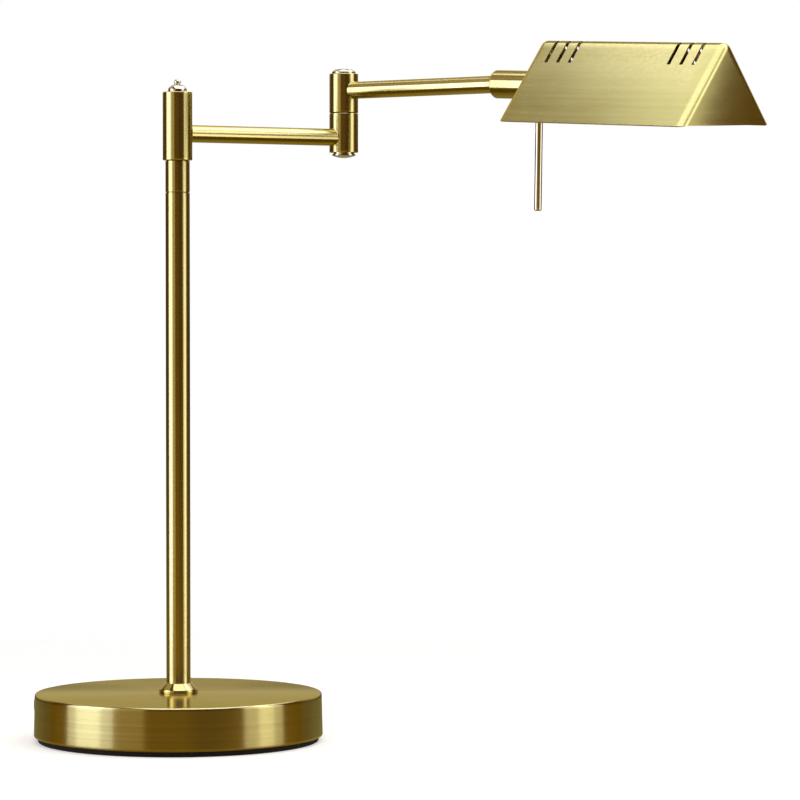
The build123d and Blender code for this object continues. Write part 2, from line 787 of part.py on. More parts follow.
with BuildPart() as light_tray:
    tray_length = tray_right - tray_left - 2 * tray_cap_thickness
    cavity_floor = tray_bottom + tray_lip_height
    cavity_roof = tray_top - tray_wall
    floor_half = tray_half_width(cavity_floor) - tray_wall_across
    roof_half = tray_half_width(cavity_roof) - tray_wall_across
    with BuildSketch(across_head(tray_left + tray_cap_thickness)):
        with BuildLine():
            Polyline(
                (-tray_bottom_half, tray_bottom),
                (tray_bottom_half, tray_bottom),
                (tray_top_half, tray_top),
                (-tray_top_half, tray_top),
                close=True,
            )
        make_face()
        with BuildLine():
            Polyline(
                (-floor_half, cavity_floor),
                (floor_half, cavity_floor),
                (roof_half, cavity_roof),
                (-roof_half, cavity_roof),
                close=True,
            )
        make_face(mode=Mode.SUBTRACT)
        with Locations((0, tray_bottom)):
            Rectangle(2 * (floor_half - tray_lip), 2 * tray_lip_height, mode=Mode.SUBTRACT)
    extrude(amount=tray_length)
    with BuildSketch(level_in_head(cavity_roof)):
        with Locations(*[(shade_start + place, 0) for place in screw_positions]):
            Circle(screw_radius)
    extrude(amount=2 * tray_wall, mode=Mode.SUBTRACT)
save(light_tray, "light_tray")

with BuildPart() as tray_end_caps:
    for cap_start in (tray_left, tray_right - tray_cap_thickness):
        with BuildSketch(across_head(cap_start)):
            with BuildLine():
                Polyline(
                    (-tray_bottom_half, tray_bottom),
                    (tray_bottom_half, tray_bottom),
                    (tray_top_half, tray_top),
                    (-tray_top_half, tray_top),
                    close=True,
                )
            make_face()
        extrude(amount=tray_cap_thickness)
    lead_slope = lead_end_rise / (lead_end - lead_bend_start)
    lead_rise_at_cap = lead_slope * (tray_left + tray_cap_thickness / 2 - lead_bend_start)
    with BuildSketch(across_head(tray_left)):
        with Locations((0, lead_rise_at_cap)):
            Circle(lead_hole_radius)
    extrude(amount=tray_cap_thickness, mode=Mode.SUBTRACT)
save(tray_end_caps, "tray_end_caps")

with BuildPart() as tray_bracket:
    plate_start = shade_start + shade_wall
    leg_length = bracket_leg_end - shade_wall
    with BuildSketch(across_head(plate_start)):
        with Locations((0, (tray_top + bracket_thickness - bracket_foot) / 2)):
            Rectangle(2 * (bracket_half_width + bracket_thickness), tray_top + bracket_thickness + bracket_foot)
        Circle(collar_rear_radius + thread_gap, mode=Mode.SUBTRACT)
    extrude(amount=bracket_thickness)
    with BuildSketch(level_in_head(tray_top)):
        with Locations((plate_start + leg_length / 2, 0)):
            Rectangle(leg_length, 2 * bracket_half_width)
        with Locations(*[(shade_start + place, 0) for place in screw_positions]):
            Circle(screw_radius, mode=Mode.SUBTRACT)
    extrude(amount=bracket_thickness)
save(tray_bracket, "tray_bracket")

with BuildPart() as tray_screws:
    screw_places = [(shade_start + place, 0) for place in screw_positions]
    with BuildSketch(level_in_head(cavity_roof)):
        with Locations(*screw_places):
            Circle(screw_radius)
    extrude(amount=tray_top + bracket_thickness - cavity_roof)
    with BuildSketch(level_in_head(tray_top + bracket_thickness)):
        with Locations(*screw_places):
            Circle(screw_head_radius)
    extrude(amount=screw_head_height)
    fillet(tray_screws.edges().group_by(Axis((0, 0, 0), head_up))[-1], screw_head_height / 3)
save(tray_screws, "tray_screws")

board_left = tray_left + tray_cap_thickness + board_margin
board_right = tray_right - tray_cap_thickness - board_margin
board_bottom = cavity_roof - board_thickness
with BuildPart() as led_board:
    with BuildSketch(level_in_head(board_bottom)):
        with Locations(((board_left + board_right) / 2, 0)):
            Rectangle(board_right - board_left, 2 * board_half_width)
    extrude(amount=board_thickness)
save(led_board, "led_board")

with BuildPart() as led_chips:
    chip_span = board_right - board_left - 2 * chip_end_margin
    with BuildSketch(level_in_head(board_bottom - chip_height)):
        with Locations(((board_left + board_right) / 2, 0)):
            with GridLocations(chip_span / (chip_columns - 1), chip_row_spacing, chip_columns, 2):
                Rectangle(chip_length, chip_width)
    extrude(amount=chip_height)
save(led_chips, "led_chips")

with BuildPart() as diffuser:
    diffuser_top = cavity_floor + diffuser_thickness
    lower_half = floor_half - drop_in_gap
    upper_half = tray_half_width(diffuser_top) - tray_wall_across - drop_in_gap
    diffuser_start = tray_left + tray_cap_thickness + drop_in_gap
    with BuildSketch(across_head(diffuser_start)):
        with BuildLine():
            Polyline(
                (-lower_half, cavity_floor),
                (lower_half, cavity_floor),
                (upper_half, diffuser_top),
                (-upper_half, diffuser_top),
                close=True,
            )
        make_face()
    extrude(amount=tray_right - tray_left - 2 * tray_cap_thickness - 2 * drop_in_gap)
save(diffuser, "diffuser")

with BuildPart() as head_lead:
    with BuildLine() as lead_path:
        route = ((shade_nipple_start + 2, 0), (lead_bend_start, 0), (lead_end, lead_end_rise))
        corners = [swivel + head_along * run + head_up * rise for run, rise in route]
        FilletPolyline(*corners, radius=lead_bend_radius)
    with BuildSketch(across_head(route[0][0])):
        Circle(lead_radius)
    sweep(path=lead_path.line)
save(head_lead, "head_lead")
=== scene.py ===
import json
from math import asin, cos, degrees, hypot, pi, radians, sin, sqrt

import bmesh
import bpy
from mathutils import Matrix, Vector


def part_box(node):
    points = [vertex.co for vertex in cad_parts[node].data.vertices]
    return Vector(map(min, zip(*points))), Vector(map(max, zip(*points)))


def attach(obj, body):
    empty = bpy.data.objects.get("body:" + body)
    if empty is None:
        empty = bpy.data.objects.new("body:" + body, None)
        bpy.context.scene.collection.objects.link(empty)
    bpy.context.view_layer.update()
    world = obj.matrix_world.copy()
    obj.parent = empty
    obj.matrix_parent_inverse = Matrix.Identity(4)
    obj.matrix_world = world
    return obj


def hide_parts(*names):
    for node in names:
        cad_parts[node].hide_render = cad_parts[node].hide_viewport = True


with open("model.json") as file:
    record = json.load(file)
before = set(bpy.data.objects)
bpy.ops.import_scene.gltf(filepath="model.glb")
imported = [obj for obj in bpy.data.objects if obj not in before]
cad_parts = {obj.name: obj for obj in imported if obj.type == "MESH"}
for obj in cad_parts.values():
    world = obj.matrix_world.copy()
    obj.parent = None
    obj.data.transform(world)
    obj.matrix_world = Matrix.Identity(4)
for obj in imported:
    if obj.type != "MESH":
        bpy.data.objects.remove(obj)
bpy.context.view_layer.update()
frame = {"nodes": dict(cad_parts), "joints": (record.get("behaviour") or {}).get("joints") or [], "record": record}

# Swing arm desk lamp in brushed brass: a weighted round base, a pole with a dimmer sleeve,
# two swinging arms and a ridged shade. Lengths are metres.

MM = 0.001

# ---------------- sizes
ROUND_STEPS = 128          # faces round a small turned piece
BASE_STEPS = 320           # faces round the base
WEAR_REACH = 1.1 * MM      # a loop this far from each worn edge keeps the wear narrow

COVER_WALL = 1.2 * MM
COVER_HOLE = 6.0 * MM      # hole in the middle of the cover's top
COVER_TAPER = 0.7 * MM     # the cover's top is this much smaller in radius
COVER_RIM = 1.4 * MM       # rounding of the cover's top edge
COVER_FOOT = 0.8 * MM
INLET_RADIUS = 3.6 * MM
INLET_CUT = 20.0 * MM      # length of the tool that cuts the inlet
PAD_LOW_EDGE = 0.9 * MM
PAD_TOP_EDGE = 0.5 * MM
COLLAR_STEP = 2.3 * MM     # straight part of the foot collar
COLLAR_LIP = 0.75 * MM     # foot collar's top beyond the pole
COLLAR_GAP = 0.05 * MM
COLLAR_LOW_EDGE = 0.3 * MM
COLLAR_SHOULDER = 0.5 * MM
COLLAR_TOP_EDGE = 0.25 * MM
POLE_WALL = 1.2 * MM
POLE_LIP = 7.0 * MM        # radius of the lips at the sleeve's seams
SLEEVE_BORE = 6.7 * MM
SLEEVE_TOP_EDGE = 0.2 * MM
BRAZE = 0.5 * MM           # fillet where an arm meets a barrel
PIN_RADIUS = 4.5 * MM
ELBOW_BORE = 7.0 * MM
ELBOW_LIP = 8.8 * MM       # radius of the lip at the elbow's seam
EDGE = 0.45 * MM           # broken edge of a turned barrel
SEAM_EDGE = 0.12 * MM      # broken edge beside a seam of the pole
SEAM_SHADE_REACH = 0.1 * MM      # how far the painted shade of a seam reaches beside it
SEAM_LIP = 0.27 * MM       # low lip that nearly closes the gap between turning faces

HEAD_ROLL = radians(2.27)  # the shade sits a little turned about its swivel
HEAD_COLLAR_LENGTH = 38.3 * MM
HEAD_COLLAR_MOUTH = 6.9 * MM
HEAD_COLLAR_MOUTH_DEPTH = 9.0 * MM
HEAD_COLLAR_MOUTH_EDGE = 0.2 * MM
HEAD_COLLAR_WEB = 24.0 * MM
HEAD_PIN_HOLE = 3.55 * MM
HEAD_COLLAR_REAR = 6.5 * MM
ROD_RADIUS = 2.45 * MM
ROD_LENGTH = 72.5 * MM
ROD_SETBACK = 2.7 * MM
ROD_TIP = 0.9 * MM
ROD_GAP = 0.05 * MM        # between the rod's end and the collar's bore

SHADE_LENGTH = 147.9 * MM
SHADE_WIDTH = 94.08 * MM
SHADE_APEX = 32.4 * MM
SHADE_DROP = 22.5 * MM
SHADE_WALL = 1.0 * MM
RIDGE_RADIUS = 6.6 * MM
RIDGE_STEPS = 14
CREASE_RADIUS = 4.6 * MM   # rounded crease between a slope and an end
CREASE_STEPS = 12
VENT_WIDTH = 2.7 * MM
VENT_PITCH = 9.7 * MM
VENT_COUNT = 3
VENT_REACH = 22.8 * MM     # down the slope from the sharp apex
FIRST_VENT_INNER = 13.7 * MM
FIRST_VENT_OUTER = 16.3 * MM
BRACKET_SHEET = 1.5 * MM
NUT_FLATS = 18.0 * MM
NUT_HEIGHT = 4.0 * MM
NUT_CORNER = 0.35 * MM     # broken corners of the nut
NIPPLE_START = 31.5 * MM
NIPPLE_TAIL = 1.5 * MM     # nipple beyond the nut
NIPPLE_BORE = 5.0 * MM
THREAD_PITCH = 1.0 * MM
THREAD_DEPTH = 0.35 * MM
THREAD_EASE = 0.02 * MM
SCREW_PLACES = (22.0 * MM, 33.0 * MM)
SCREW_SEAT = 13.5 * MM     # above the swivel axis
SCREW_HEAD_RADIUS = 2.75 * MM
SCREW_HEAD_HEIGHT = 1.8 * MM
SCREW_CROWN = 1.2 * MM     # rounding of the screw's head
SCREW_SLOT = (0.6 * MM, 3.0 * MM, 1.6 * MM)
SCREW_SLOT_RISE = 1.9 * MM

# ---------------- where things are
joints = {joint["name"]: joint for joint in frame["joints"]}
elbow_axis = Vector(joints["elbow_swing"]["pos_m"])
swivel = Vector(joints["head_turn"]["pos_m"])
head_along = Vector(joints["head_turn"]["axis"]).normalized()
level_across = Vector((0, 0, 1)).cross(head_along).normalized()
head_across = (Matrix.Rotation(HEAD_ROLL, 3, head_along) @ level_across).normalized()
head_up = head_along.cross(head_across).normalized()


def frame_matrix(origin, x_way, y_way, z_way):
    """Matrix that puts a locally made piece at an origin, turned to three directions."""
    turned = Matrix((x_way, y_way, z_way)).transposed().to_4x4()
    return Matrix.Translation(origin) @ turned


UPRIGHT = Matrix.Identity(4)
HEAD_FRAME = frame_matrix(swivel, head_along, head_across, head_up)
HEAD_TURNED = frame_matrix(swivel, head_across, head_up, head_along)


def node_span(node):
    """Radius, lowest and highest Z of an upright round node."""
    low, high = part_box(node)
    return (high.x - low.x) / 2, low.z, high.z


# ---------------- mesh helpers
def mesh_of(bm, name):
    mesh = bpy.data.meshes.new(name)
    bm.to_mesh(mesh)
    bm.free()
    return mesh


def added(name, data):
    """New object of some data, linked into the scene."""
    made = bpy.data.objects.new(name, data)
    bpy.context.scene.collection.objects.link(made)
    return made


def rounded(bm, edges, radius, segments, clamp=False):
    bmesh.ops.bevel(bm, geom=edges, offset=radius, segments=segments, profile=0.5, affect="EDGES",
                    material=-1, clamp_overlap=clamp)


def add_loop(bm, point, way):
    """Adds an edge loop where a plane crosses the mesh."""
    bmesh.ops.bisect_plane(bm, geom=bm.verts[:] + bm.edges[:] + bm.faces[:],
                           plane_co=point, plane_no=way, dist=1e-7)


def finished(bm, name, material, body, replaces, place=UPRIGHT, smooth_below=32.0, seam_shade_span=None):
    """Turns a bmesh into a piece of the lamp: wear marked, placed, shaded, riding on its body.
    The last argument gives the heights below and above which the edges beside a seam get painted shade, a dark
    line for the shade that falls in the gap."""
    bmesh.ops.recalc_face_normals(bm, faces=bm.faces)
    bm.normal_update()
    wear = []
    # Painted shade mask: vertices at or past the given heights, on the edges and lips of a seam where its gap
    # holds shade, get 1.
    below, above = seam_shade_span or (-1, 1)
    seam_shade = [float(not below < vert.co.z < above) for vert in bm.verts]
    for vert in bm.verts:
        bend = max((edge.calc_face_angle(0.0) for edge in vert.link_edges), default=0.0)
        wear.append(min(max((bend - radians(5.0)) / radians(12.0), 0.0), 1.0))
    mesh = mesh_of(bm, name)
    mesh.transform(place)
    for label, values in (("wear", wear), ("seam_shade", seam_shade)):
        layer = mesh.attributes.new(label, "FLOAT", "POINT")
        layer.data.foreach_set("value", values)
    mesh.shade_smooth()
    mesh.set_sharp_from_angle(angle=radians(smooth_below))
    mesh.materials.append(material)
    piece = added(name, mesh)
    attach(piece, body)
    if replaces:
        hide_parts(*replaces)
    return piece


def spun(outline, steps=ROUND_STEPS, rounds=(), loops=(), closed=True):
    """Spins an outline of (radius, height) about local Z. rounds gives (corner index, radius);
    loops gives heights where an edge loop is added."""
    bm = bmesh.new()
    verts = [bm.verts.new((radius, 0, height)) for radius, height in outline]
    edges = [bm.edges.new(pair) for pair in zip(verts, verts[1:])]
    if closed:
        edges.append(bm.edges.new((verts[-1], verts[0])))
    bmesh.ops.spin(bm, geom=verts + edges, cent=(0, 0, 0), axis=(0, 0, 1), dvec=(0, 0, 0),
                   angle=2 * pi, steps=steps, use_merge=True, use_duplicate=False)
    bmesh.ops.remove_doubles(bm, verts=bm.verts, dist=1e-7)
    bmesh.ops.recalc_face_normals(bm, faces=bm.faces)
    for corner, radius in rounds:
        ring_radius, height = outline[corner]
        ring = [edge for edge in bm.edges if all(on_ring(vert, ring_radius, height) for vert in edge.verts)]
        rounded(bm, ring, radius, 4)
    for height in loops:
        add_loop(bm, (0, 0, height), (0, 0, 1))
    return bm


def on_ring(vert, radius, height):
    return abs(hypot(vert.co.x, vert.co.y) - radius) < 1e-6 and abs(vert.co.z - height) < 1e-6


def arc(centre, radius, start, stop, steps):
    """Points of (radius, height) on an arc, angles in degrees from the outward direction."""
    angles = [radians(start + (stop - start) * step / steps) for step in range(steps + 1)]
    return [(centre[0] + radius * cos(angle), centre[1] + radius * sin(angle)) for angle in angles]


def tube_outline(inner, outer, low, high, lip=None):
    """Section of a tube; lip is the radius of a low lip standing on its top."""
    if lip is None:
        return [(inner, low), (outer, low), (outer, high), (inner, high)]
    top = high + SEAM_LIP
    return [(inner, low), (outer, low), (outer, high), (lip, high), (lip, top), (inner, top)]


def cut(solid_bm, cutter_bm, name):
    """Cuts one bmesh's solid out of another's and gives the result as a bmesh."""
    body = added(name, mesh_of(solid_bm, name))
    cutter = added(name + "_cutter", mesh_of(cutter_bm, name + "_cutter"))
    boolean = body.modifiers.new("cut", "BOOLEAN")
    boolean.operation = "DIFFERENCE"
    boolean.solver = "EXACT"
    boolean.use_self = True
    boolean.object = cutter
    graph = bpy.context.evaluated_depsgraph_get()
    result = bpy.data.meshes.new_from_object(body.evaluated_get(graph))
    cut_bm = bmesh.new()
    cut_bm.from_mesh(result)
    for made in (body, cutter):
        mesh = made.data
        bpy.data.objects.remove(made)
        bpy.data.meshes.remove(mesh)
    bpy.data.meshes.remove(result)
    bmesh.ops.remove_doubles(cut_bm, verts=cut_bm.verts, dist=1e-7)
    return cut_bm


# ---------------- shader helpers
NUMBER = "NodeSocketFloat"
VECTOR = "NodeSocketVector"


def new_group(name, inputs, outputs):
    """Empty shader group with named sockets, given as (name, kind, default)."""
    group = bpy.data.node_groups.new(name, "ShaderNodeTree")
    for label, kind, default in inputs:
        socket = group.interface.new_socket(label, in_out="INPUT", socket_type=kind)
        if default is not None:
            socket.default_value = default
    for label, kind in outputs:
        group.interface.new_socket(label, in_out="OUTPUT", socket_type=kind)
    return group, group.nodes.new("NodeGroupInput"), group.nodes.new("NodeGroupOutput")


def math_node(tree, operation, *values, clamp=False):
    """Math node; each value is a number or a socket. Gives the output socket."""
    node = tree.nodes.new("ShaderNodeMath")
    node.operation = operation
    node.use_clamp = clamp
    for socket, value in zip(node.inputs, values):
        put(tree, socket, value)
    return node.outputs[0]


def vector_node(tree, operation, *values):
    node = tree.nodes.new("ShaderNodeVectorMath")
    node.operation = operation
    for socket, value in zip(node.inputs, values):
        put(tree, socket, value)
    return node.outputs["Value"] if operation in {"LENGTH", "DOT_PRODUCT"} else node.outputs[0]


def put(tree, socket, value):
    """Links a socket or sets a plain value."""
    if isinstance(value, bpy.types.NodeSocket):
        tree.links.new(value, socket)
    else:
        socket.default_value = value


def scaled_sum(tree, value, scale, base, clamp=False):
    return math_node(tree, "MULTIPLY_ADD", value, scale, base, clamp=clamp)


def attribute_node(tree, name):
    node = tree.nodes.new("ShaderNodeAttribute")
    node.attribute_name = name
    return node.outputs["Fac"]


def noise_node(tree, vector, scale, detail=2.0, roughness=0.5):
    node = tree.nodes.new("ShaderNodeTexNoise")
    put(tree, node.inputs["Vector"], vector)
    node.inputs["Scale"].default_value = scale
    node.inputs["Detail"].default_value = detail
    node.inputs["Roughness"].default_value = roughness
    return node.outputs["Fac"]


def remap(tree, value, low, high, out_low=0.0, out_high=1.0):
    node = tree.nodes.new("ShaderNodeMapRange")
    put(tree, node.inputs["Value"], value)
    for label, number in (("From Min", low), ("From Max", high), ("To Min", out_low), ("To Max", out_high)):
        put(tree, node.inputs[label], number)
    return node.outputs["Result"]


def mix_colour(tree, factor, first, second):
    node = tree.nodes.new("ShaderNodeMix")
    node.data_type = "RGBA"
    put(tree, node.inputs[0], factor)
    put(tree, node.inputs[6], first)
    put(tree, node.inputs[7], second)
    return node.outputs[2]


def make_turned_coordinates():
    """Coordinates for lathe marks: X and Y kept, Z is height plus distance from the axis,
    so that marks run round the sides and round the flat ends alike."""
    group, into, out = new_group("turned_coordinates", [("Vector", VECTOR, None)], [("Vector", VECTOR)])
    flat = vector_node(group, "MULTIPLY", into.outputs["Vector"], (1, 1, 0))
    lift = vector_node(group, "MULTIPLY", vector_node(group, "LENGTH", flat), (0, 0, 1))
    group.links.new(vector_node(group, "ADD", into.outputs["Vector"], lift), out.inputs["Vector"])
    return group


def make_brushed_grain():
    """Brush marks: fine lines, broader streaks and a few deep single scratches.
    Stretch holds the marks per metre along each axis."""
    group, into, out = new_group(
        "brushed_grain", [("Vector", VECTOR, None), ("Stretch", VECTOR, (20.0, 20.0, 3000.0))],
        [("Lines", NUMBER), ("Streaks", NUMBER), ("Scratches", NUMBER)])
    stretched = vector_node(group, "MULTIPLY", into.outputs["Vector"], into.outputs["Stretch"])
    fine = noise_node(group, stretched, 1.0, 3.0, 0.65)
    broad = noise_node(group, stretched, 0.22, 2.0, 0.5)
    lone = noise_node(group, vector_node(group, "ADD", stretched, (71.0, 13.0, 37.0)), 0.6, 0.0)
    group.links.new(remap(group, fine, 0.3, 0.7), out.inputs["Lines"])
    group.links.new(remap(group, broad, 0.32, 0.68), out.inputs["Streaks"])
    group.links.new(remap(group, lone, 0.74, 0.82), out.inputs["Scratches"])
    return group


def make_hand_marks():
    """Soft uneven patches left by lacquer and by handling."""
    group, into, out = new_group(
        "hand_marks", [("Vector", VECTOR, None), ("Size", NUMBER, 0.03)],
        [("Patches", NUMBER), ("Specks", NUMBER)])
    scaled = vector_node(group, "DIVIDE", into.outputs["Vector"], into.outputs["Size"])
    patches = noise_node(group, scaled, 1.0, 4.0, 0.6)
    specks = noise_node(group, scaled, 34.0, 1.0, 0.5)
    group.links.new(remap(group, patches, 0.3, 0.7), out.inputs["Patches"])
    group.links.new(remap(group, specks, 0.68, 0.78), out.inputs["Specks"])
    return group


def make_edge_wear():
    """Breaks up the marked edges into worn and sound stretches."""
    group, into, out = new_group(
        "edge_wear", [("Edge", NUMBER, 0.0), ("Vector", VECTOR, None), ("Amount", NUMBER, 0.6)],
        [("Worn", NUMBER)])
    broken = noise_node(group, into.outputs["Vector"], 420.0, 3.0, 0.6)
    broken = remap(group, broken, 0.35, 0.62, 0.35, 1.0)
    sharp = math_node(group, "POWER", into.outputs["Edge"], 1.6)
    worn = math_node(group, "MULTIPLY", sharp, broken)
    worn = math_node(group, "MULTIPLY", worn, into.outputs["Amount"], clamp=True)
    group.links.new(worn, out.inputs["Worn"])
    return group


TURNED = make_turned_coordinates()
GRAIN = make_brushed_grain()
HAND = make_hand_marks()
WEAR = make_edge_wear()


def place_group(tree, group, **values):
    node = tree.nodes.new("ShaderNodeGroup")
    node.node_tree = group
    for label, value in values.items():
        put(tree, node.inputs[label], value)
    return node


def start_material(name):
    material = bpy.data.materials.new(name)
    material.use_nodes = True
    tree = material.node_tree
    shader = tree.nodes["Principled BSDF"]
    return material, tree, shader


def object_vector(tree, place=UPRIGHT):
    """Object coordinates, turned and centred so that local Z is the piece's own axis."""
    coordinates = tree.nodes.new("ShaderNodeTexCoord").outputs["Object"]
    if place == UPRIGHT:
        return coordinates
    mapping = tree.nodes.new("ShaderNodeMapping")
    inverse = place.inverted()
    mapping.inputs["Location"].default_value = inverse.to_translation()
    mapping.inputs["Rotation"].default_value = inverse.to_euler("XYZ")
    tree.links.new(coordinates, mapping.inputs["Vector"])
    return mapping.outputs[0]


def bump(tree, shader, height, distance, strength=1.0):
    node = tree.nodes.new("ShaderNodeBump")
    node.inputs["Distance"].default_value = distance
    node.inputs["Strength"].default_value = strength
    tree.links.new(height, node.inputs["Height"])
    tree.links.new(node.outputs[0], shader.inputs["Normal"])


def turned_tangent(tree, shader, centre, axis):
    """Across the lathe marks everywhere: outwards on the flat ends, along the axis on the sides."""
    position = tree.nodes.new("ShaderNodeTexCoord").outputs["Object"]
    from_centre = vector_node(tree, "SUBTRACT", position, tuple(centre))
    off_axis = vector_node(tree, "PROJECT", from_centre, tuple(axis))
    outwards = vector_node(tree, "NORMALIZE", vector_node(tree, "SUBTRACT", from_centre, off_axis))
    fixed_tangent(tree, shader, vector_node(tree, "ADD", outwards, tuple(axis)))


def fixed_tangent(tree, shader, direction):
    turn = tree.nodes.new("ShaderNodeVectorTransform")
    turn.vector_type = "VECTOR"
    turn.convert_from = "OBJECT"
    turn.convert_to = "WORLD"
    put(tree, turn.inputs[0], direction)
    tree.links.new(turn.outputs[0], shader.inputs["Tangent"])


# ---------------- finishes
BRASS_DEEP = (0.60, 0.525, 0.215, 1.0)
BRASS_LIGHT = (0.76, 0.70, 0.335, 1.0)
BRASS_GRAZING = (0.84, 0.74, 0.42, 1.0)   # tint at low angles
BRASS_WORN = (0.90, 0.82, 0.52, 1.0)
SHADE_DEEP = (0.60, 0.555, 0.225, 1.0)
SHADE_LIGHT = (0.76, 0.735, 0.35, 1.0)
POLISHED_DEEP = (0.74, 0.71, 0.60, 1.0)
POLISHED_LIGHT = (0.86, 0.84, 0.76, 1.0)
# Near-black painted shade for the edges and lips beside seams, where the gaps between turning parts hold shade.
SEAM_PAINTED_SHADE = (0.02, 0.014, 0.004, 1.0)


def satin_brass(name, place=UPRIGHT, lathe=True, stretch=(25.0, 25.0, 2400.0), roughness=0.17,
                anisotropy=0.75, wear=0.55, relief=0.06, deep=BRASS_DEEP, light=BRASS_LIGHT, contrast=0.4):
    """Brushed and lacquered antique brass. A lathe piece has its marks round local Z of its place;
    a sheet has them along local X."""
    material, tree, shader = start_material(name)
    vector = object_vector(tree, place)
    marks = place_group(tree, TURNED, Vector=vector).outputs[0] if lathe else vector
    grain = place_group(tree, GRAIN, Vector=marks, Stretch=stretch)
    hand = place_group(tree, HAND, Vector=vector, Size=0.035)
    edge = attribute_node(tree, "wear")
    worn = place_group(tree, WEAR, Edge=edge, Vector=vector, Amount=wear).outputs["Worn"]
    tone = scaled_sum(tree, grain.outputs["Lines"], 0.35,
                     math_node(tree, "MULTIPLY", grain.outputs["Streaks"], 0.35))
    tone = scaled_sum(tree, hand.outputs["Patches"], 0.3, tone)
    tone = scaled_sum(tree, tone, contrast, (1 - contrast) / 2)
    colour = mix_colour(tree, tone, deep, light)
    colour = mix_colour(tree, worn, colour, BRASS_WORN)
    # Painted shade at seams: the marked edges and lips turn near black and rougher.
    seam_shade = attribute_node(tree, "seam_shade")
    colour = mix_colour(tree, seam_shade, colour, SEAM_PAINTED_SHADE)
    tree.links.new(colour, shader.inputs["Base Color"])
    rough = scaled_sum(tree, grain.outputs["Lines"], 0.02, roughness)
    rough = scaled_sum(tree, hand.outputs["Patches"], 0.015, rough)
    rough = scaled_sum(tree, worn, -0.08, rough)
    rough = scaled_sum(tree, seam_shade, 0.6, rough, clamp=True)
    tree.links.new(rough, shader.inputs["Roughness"])
    shader.inputs["Metallic"].default_value = 1.0
    shader.inputs["Anisotropic"].default_value = anisotropy
    shader.inputs["Specular Tint"].default_value = BRASS_GRAZING
    shader.inputs["Coat Weight"].default_value = 0.05
    shader.inputs["Coat Roughness"].default_value = 0.1
    height = math_node(tree, "SUBTRACT", grain.outputs["Lines"],
                       math_node(tree, "MULTIPLY", grain.outputs["Scratches"], 0.8))
    bump(tree, shader, height, 0.0000015, relief)
    if lathe:
        turned_tangent(tree, shader, place.to_translation(), place.col[2].to_3d())
    else:
        fixed_tangent(tree, shader, tuple(place.col[2].to_3d()))
    return material


def polished_brass(name, place=UPRIGHT, deep=POLISHED_DEEP, light=POLISHED_LIGHT, roughness=0.05):
    """Bright brass with faint buffing lines, fingerprints and softened edges."""
    material, tree, shader = start_material(name)
    vector = object_vector(tree, place)
    marks = place_group(tree, TURNED, Vector=vector).outputs[0]
    grain = place_group(tree, GRAIN, Vector=marks, Stretch=(40.0, 40.0, 5200.0))
    hand = place_group(tree, HAND, Vector=vector, Size=0.008)
    edge = attribute_node(tree, "wear")
    worn = place_group(tree, WEAR, Edge=edge, Vector=vector, Amount=0.3).outputs["Worn"]
    tone = scaled_sum(tree, grain.outputs["Streaks"], 0.4,
                     math_node(tree, "MULTIPLY", hand.outputs["Patches"], 0.6))
    colour = mix_colour(tree, tone, deep, light)
    colour = mix_colour(tree, worn, colour, BRASS_WORN)
    tree.links.new(colour, shader.inputs["Base Color"])
    rough = scaled_sum(tree, hand.outputs["Patches"], 0.04, roughness)
    rough = scaled_sum(tree, grain.outputs["Scratches"], 0.1, rough)
    tree.links.new(rough, shader.inputs["Roughness"])
    shader.inputs["Metallic"].default_value = 1.0
    bump(tree, shader, grain.outputs["Lines"], 0.0000006, 0.1)
    return material


def bare_metal(name, deep, light, roughness, place=UPRIGHT, marks_per_metre=2600.0, pitting=0.3):
    """Turned, plated or extruded metal with machining marks and slight staining."""
    material, tree, shader = start_material(name)
    vector = object_vector(tree, place)
    marks = place_group(tree, TURNED, Vector=vector).outputs[0]
    grain = place_group(tree, GRAIN, Vector=marks, Stretch=(60.0, 60.0, marks_per_metre))
    hand = place_group(tree, HAND, Vector=vector, Size=0.006)
    tone = scaled_sum(tree, grain.outputs["Streaks"], 0.5,
                     math_node(tree, "MULTIPLY", hand.outputs["Patches"], 0.5))
    tree.links.new(mix_colour(tree, tone, deep, light), shader.inputs["Base Color"])
    rough = scaled_sum(tree, hand.outputs["Patches"], 0.12, roughness)
    rough = scaled_sum(tree, grain.outputs["Lines"], 0.06, rough)
    tree.links.new(rough, shader.inputs["Roughness"])
    shader.inputs["Metallic"].default_value = 1.0
    height = scaled_sum(tree, hand.outputs["Specks"], -pitting, grain.outputs["Lines"])
    bump(tree, shader, height, 0.000006, 0.7)
    return material


def moulded(name, deep, light, roughness, grain_size, depth):
    """Plastic, rubber or foam: mottled colour, fine surface grain and a few pits."""
    material, tree, shader = start_material(name)
    vector = object_vector(tree)
    hand = place_group(tree, HAND, Vector=vector, Size=grain_size)
    tree.links.new(mix_colour(tree, hand.outputs["Patches"], deep, light), shader.inputs["Base Color"])
    rough = scaled_sum(tree, hand.outputs["Patches"], 0.12, roughness)
    tree.links.new(rough, shader.inputs["Roughness"])
    height = math_node(tree, "SUBTRACT", hand.outputs["Patches"], hand.outputs["Specks"])
    bump(tree, shader, height, depth, 0.8)
    return material


def foam_pad():
    """Fine-celled black foam with open cells, lint and bright dust caught in its edge."""
    material, tree, shader = start_material("foam_black")
    vector = object_vector(tree)
    cells = tree.nodes.new("ShaderNodeTexVoronoi")
    cells.inputs["Scale"].default_value = 1100.0
    tree.links.new(vector, cells.inputs["Vector"])
    dust = remap(tree, noise_node(tree, vector, 520.0, 1.0), 0.73, 0.8)
    colour = mix_colour(tree, cells.outputs["Distance"], (0.004, 0.003, 0.003, 1), (0.02, 0.014, 0.012, 1))
    tree.links.new(mix_colour(tree, dust, colour, (0.55, 0.5, 0.4, 1)), shader.inputs["Base Color"])
    tree.links.new(remap(tree, cells.outputs["Distance"], 0.0, 0.8, 0.75, 0.95), shader.inputs["Roughness"])
    height = math_node(tree, "ADD", cells.outputs["Distance"], noise_node(tree, vector, 260.0, 3.0))
    bump(tree, shader, height, 0.0003, 1.0)
    return material


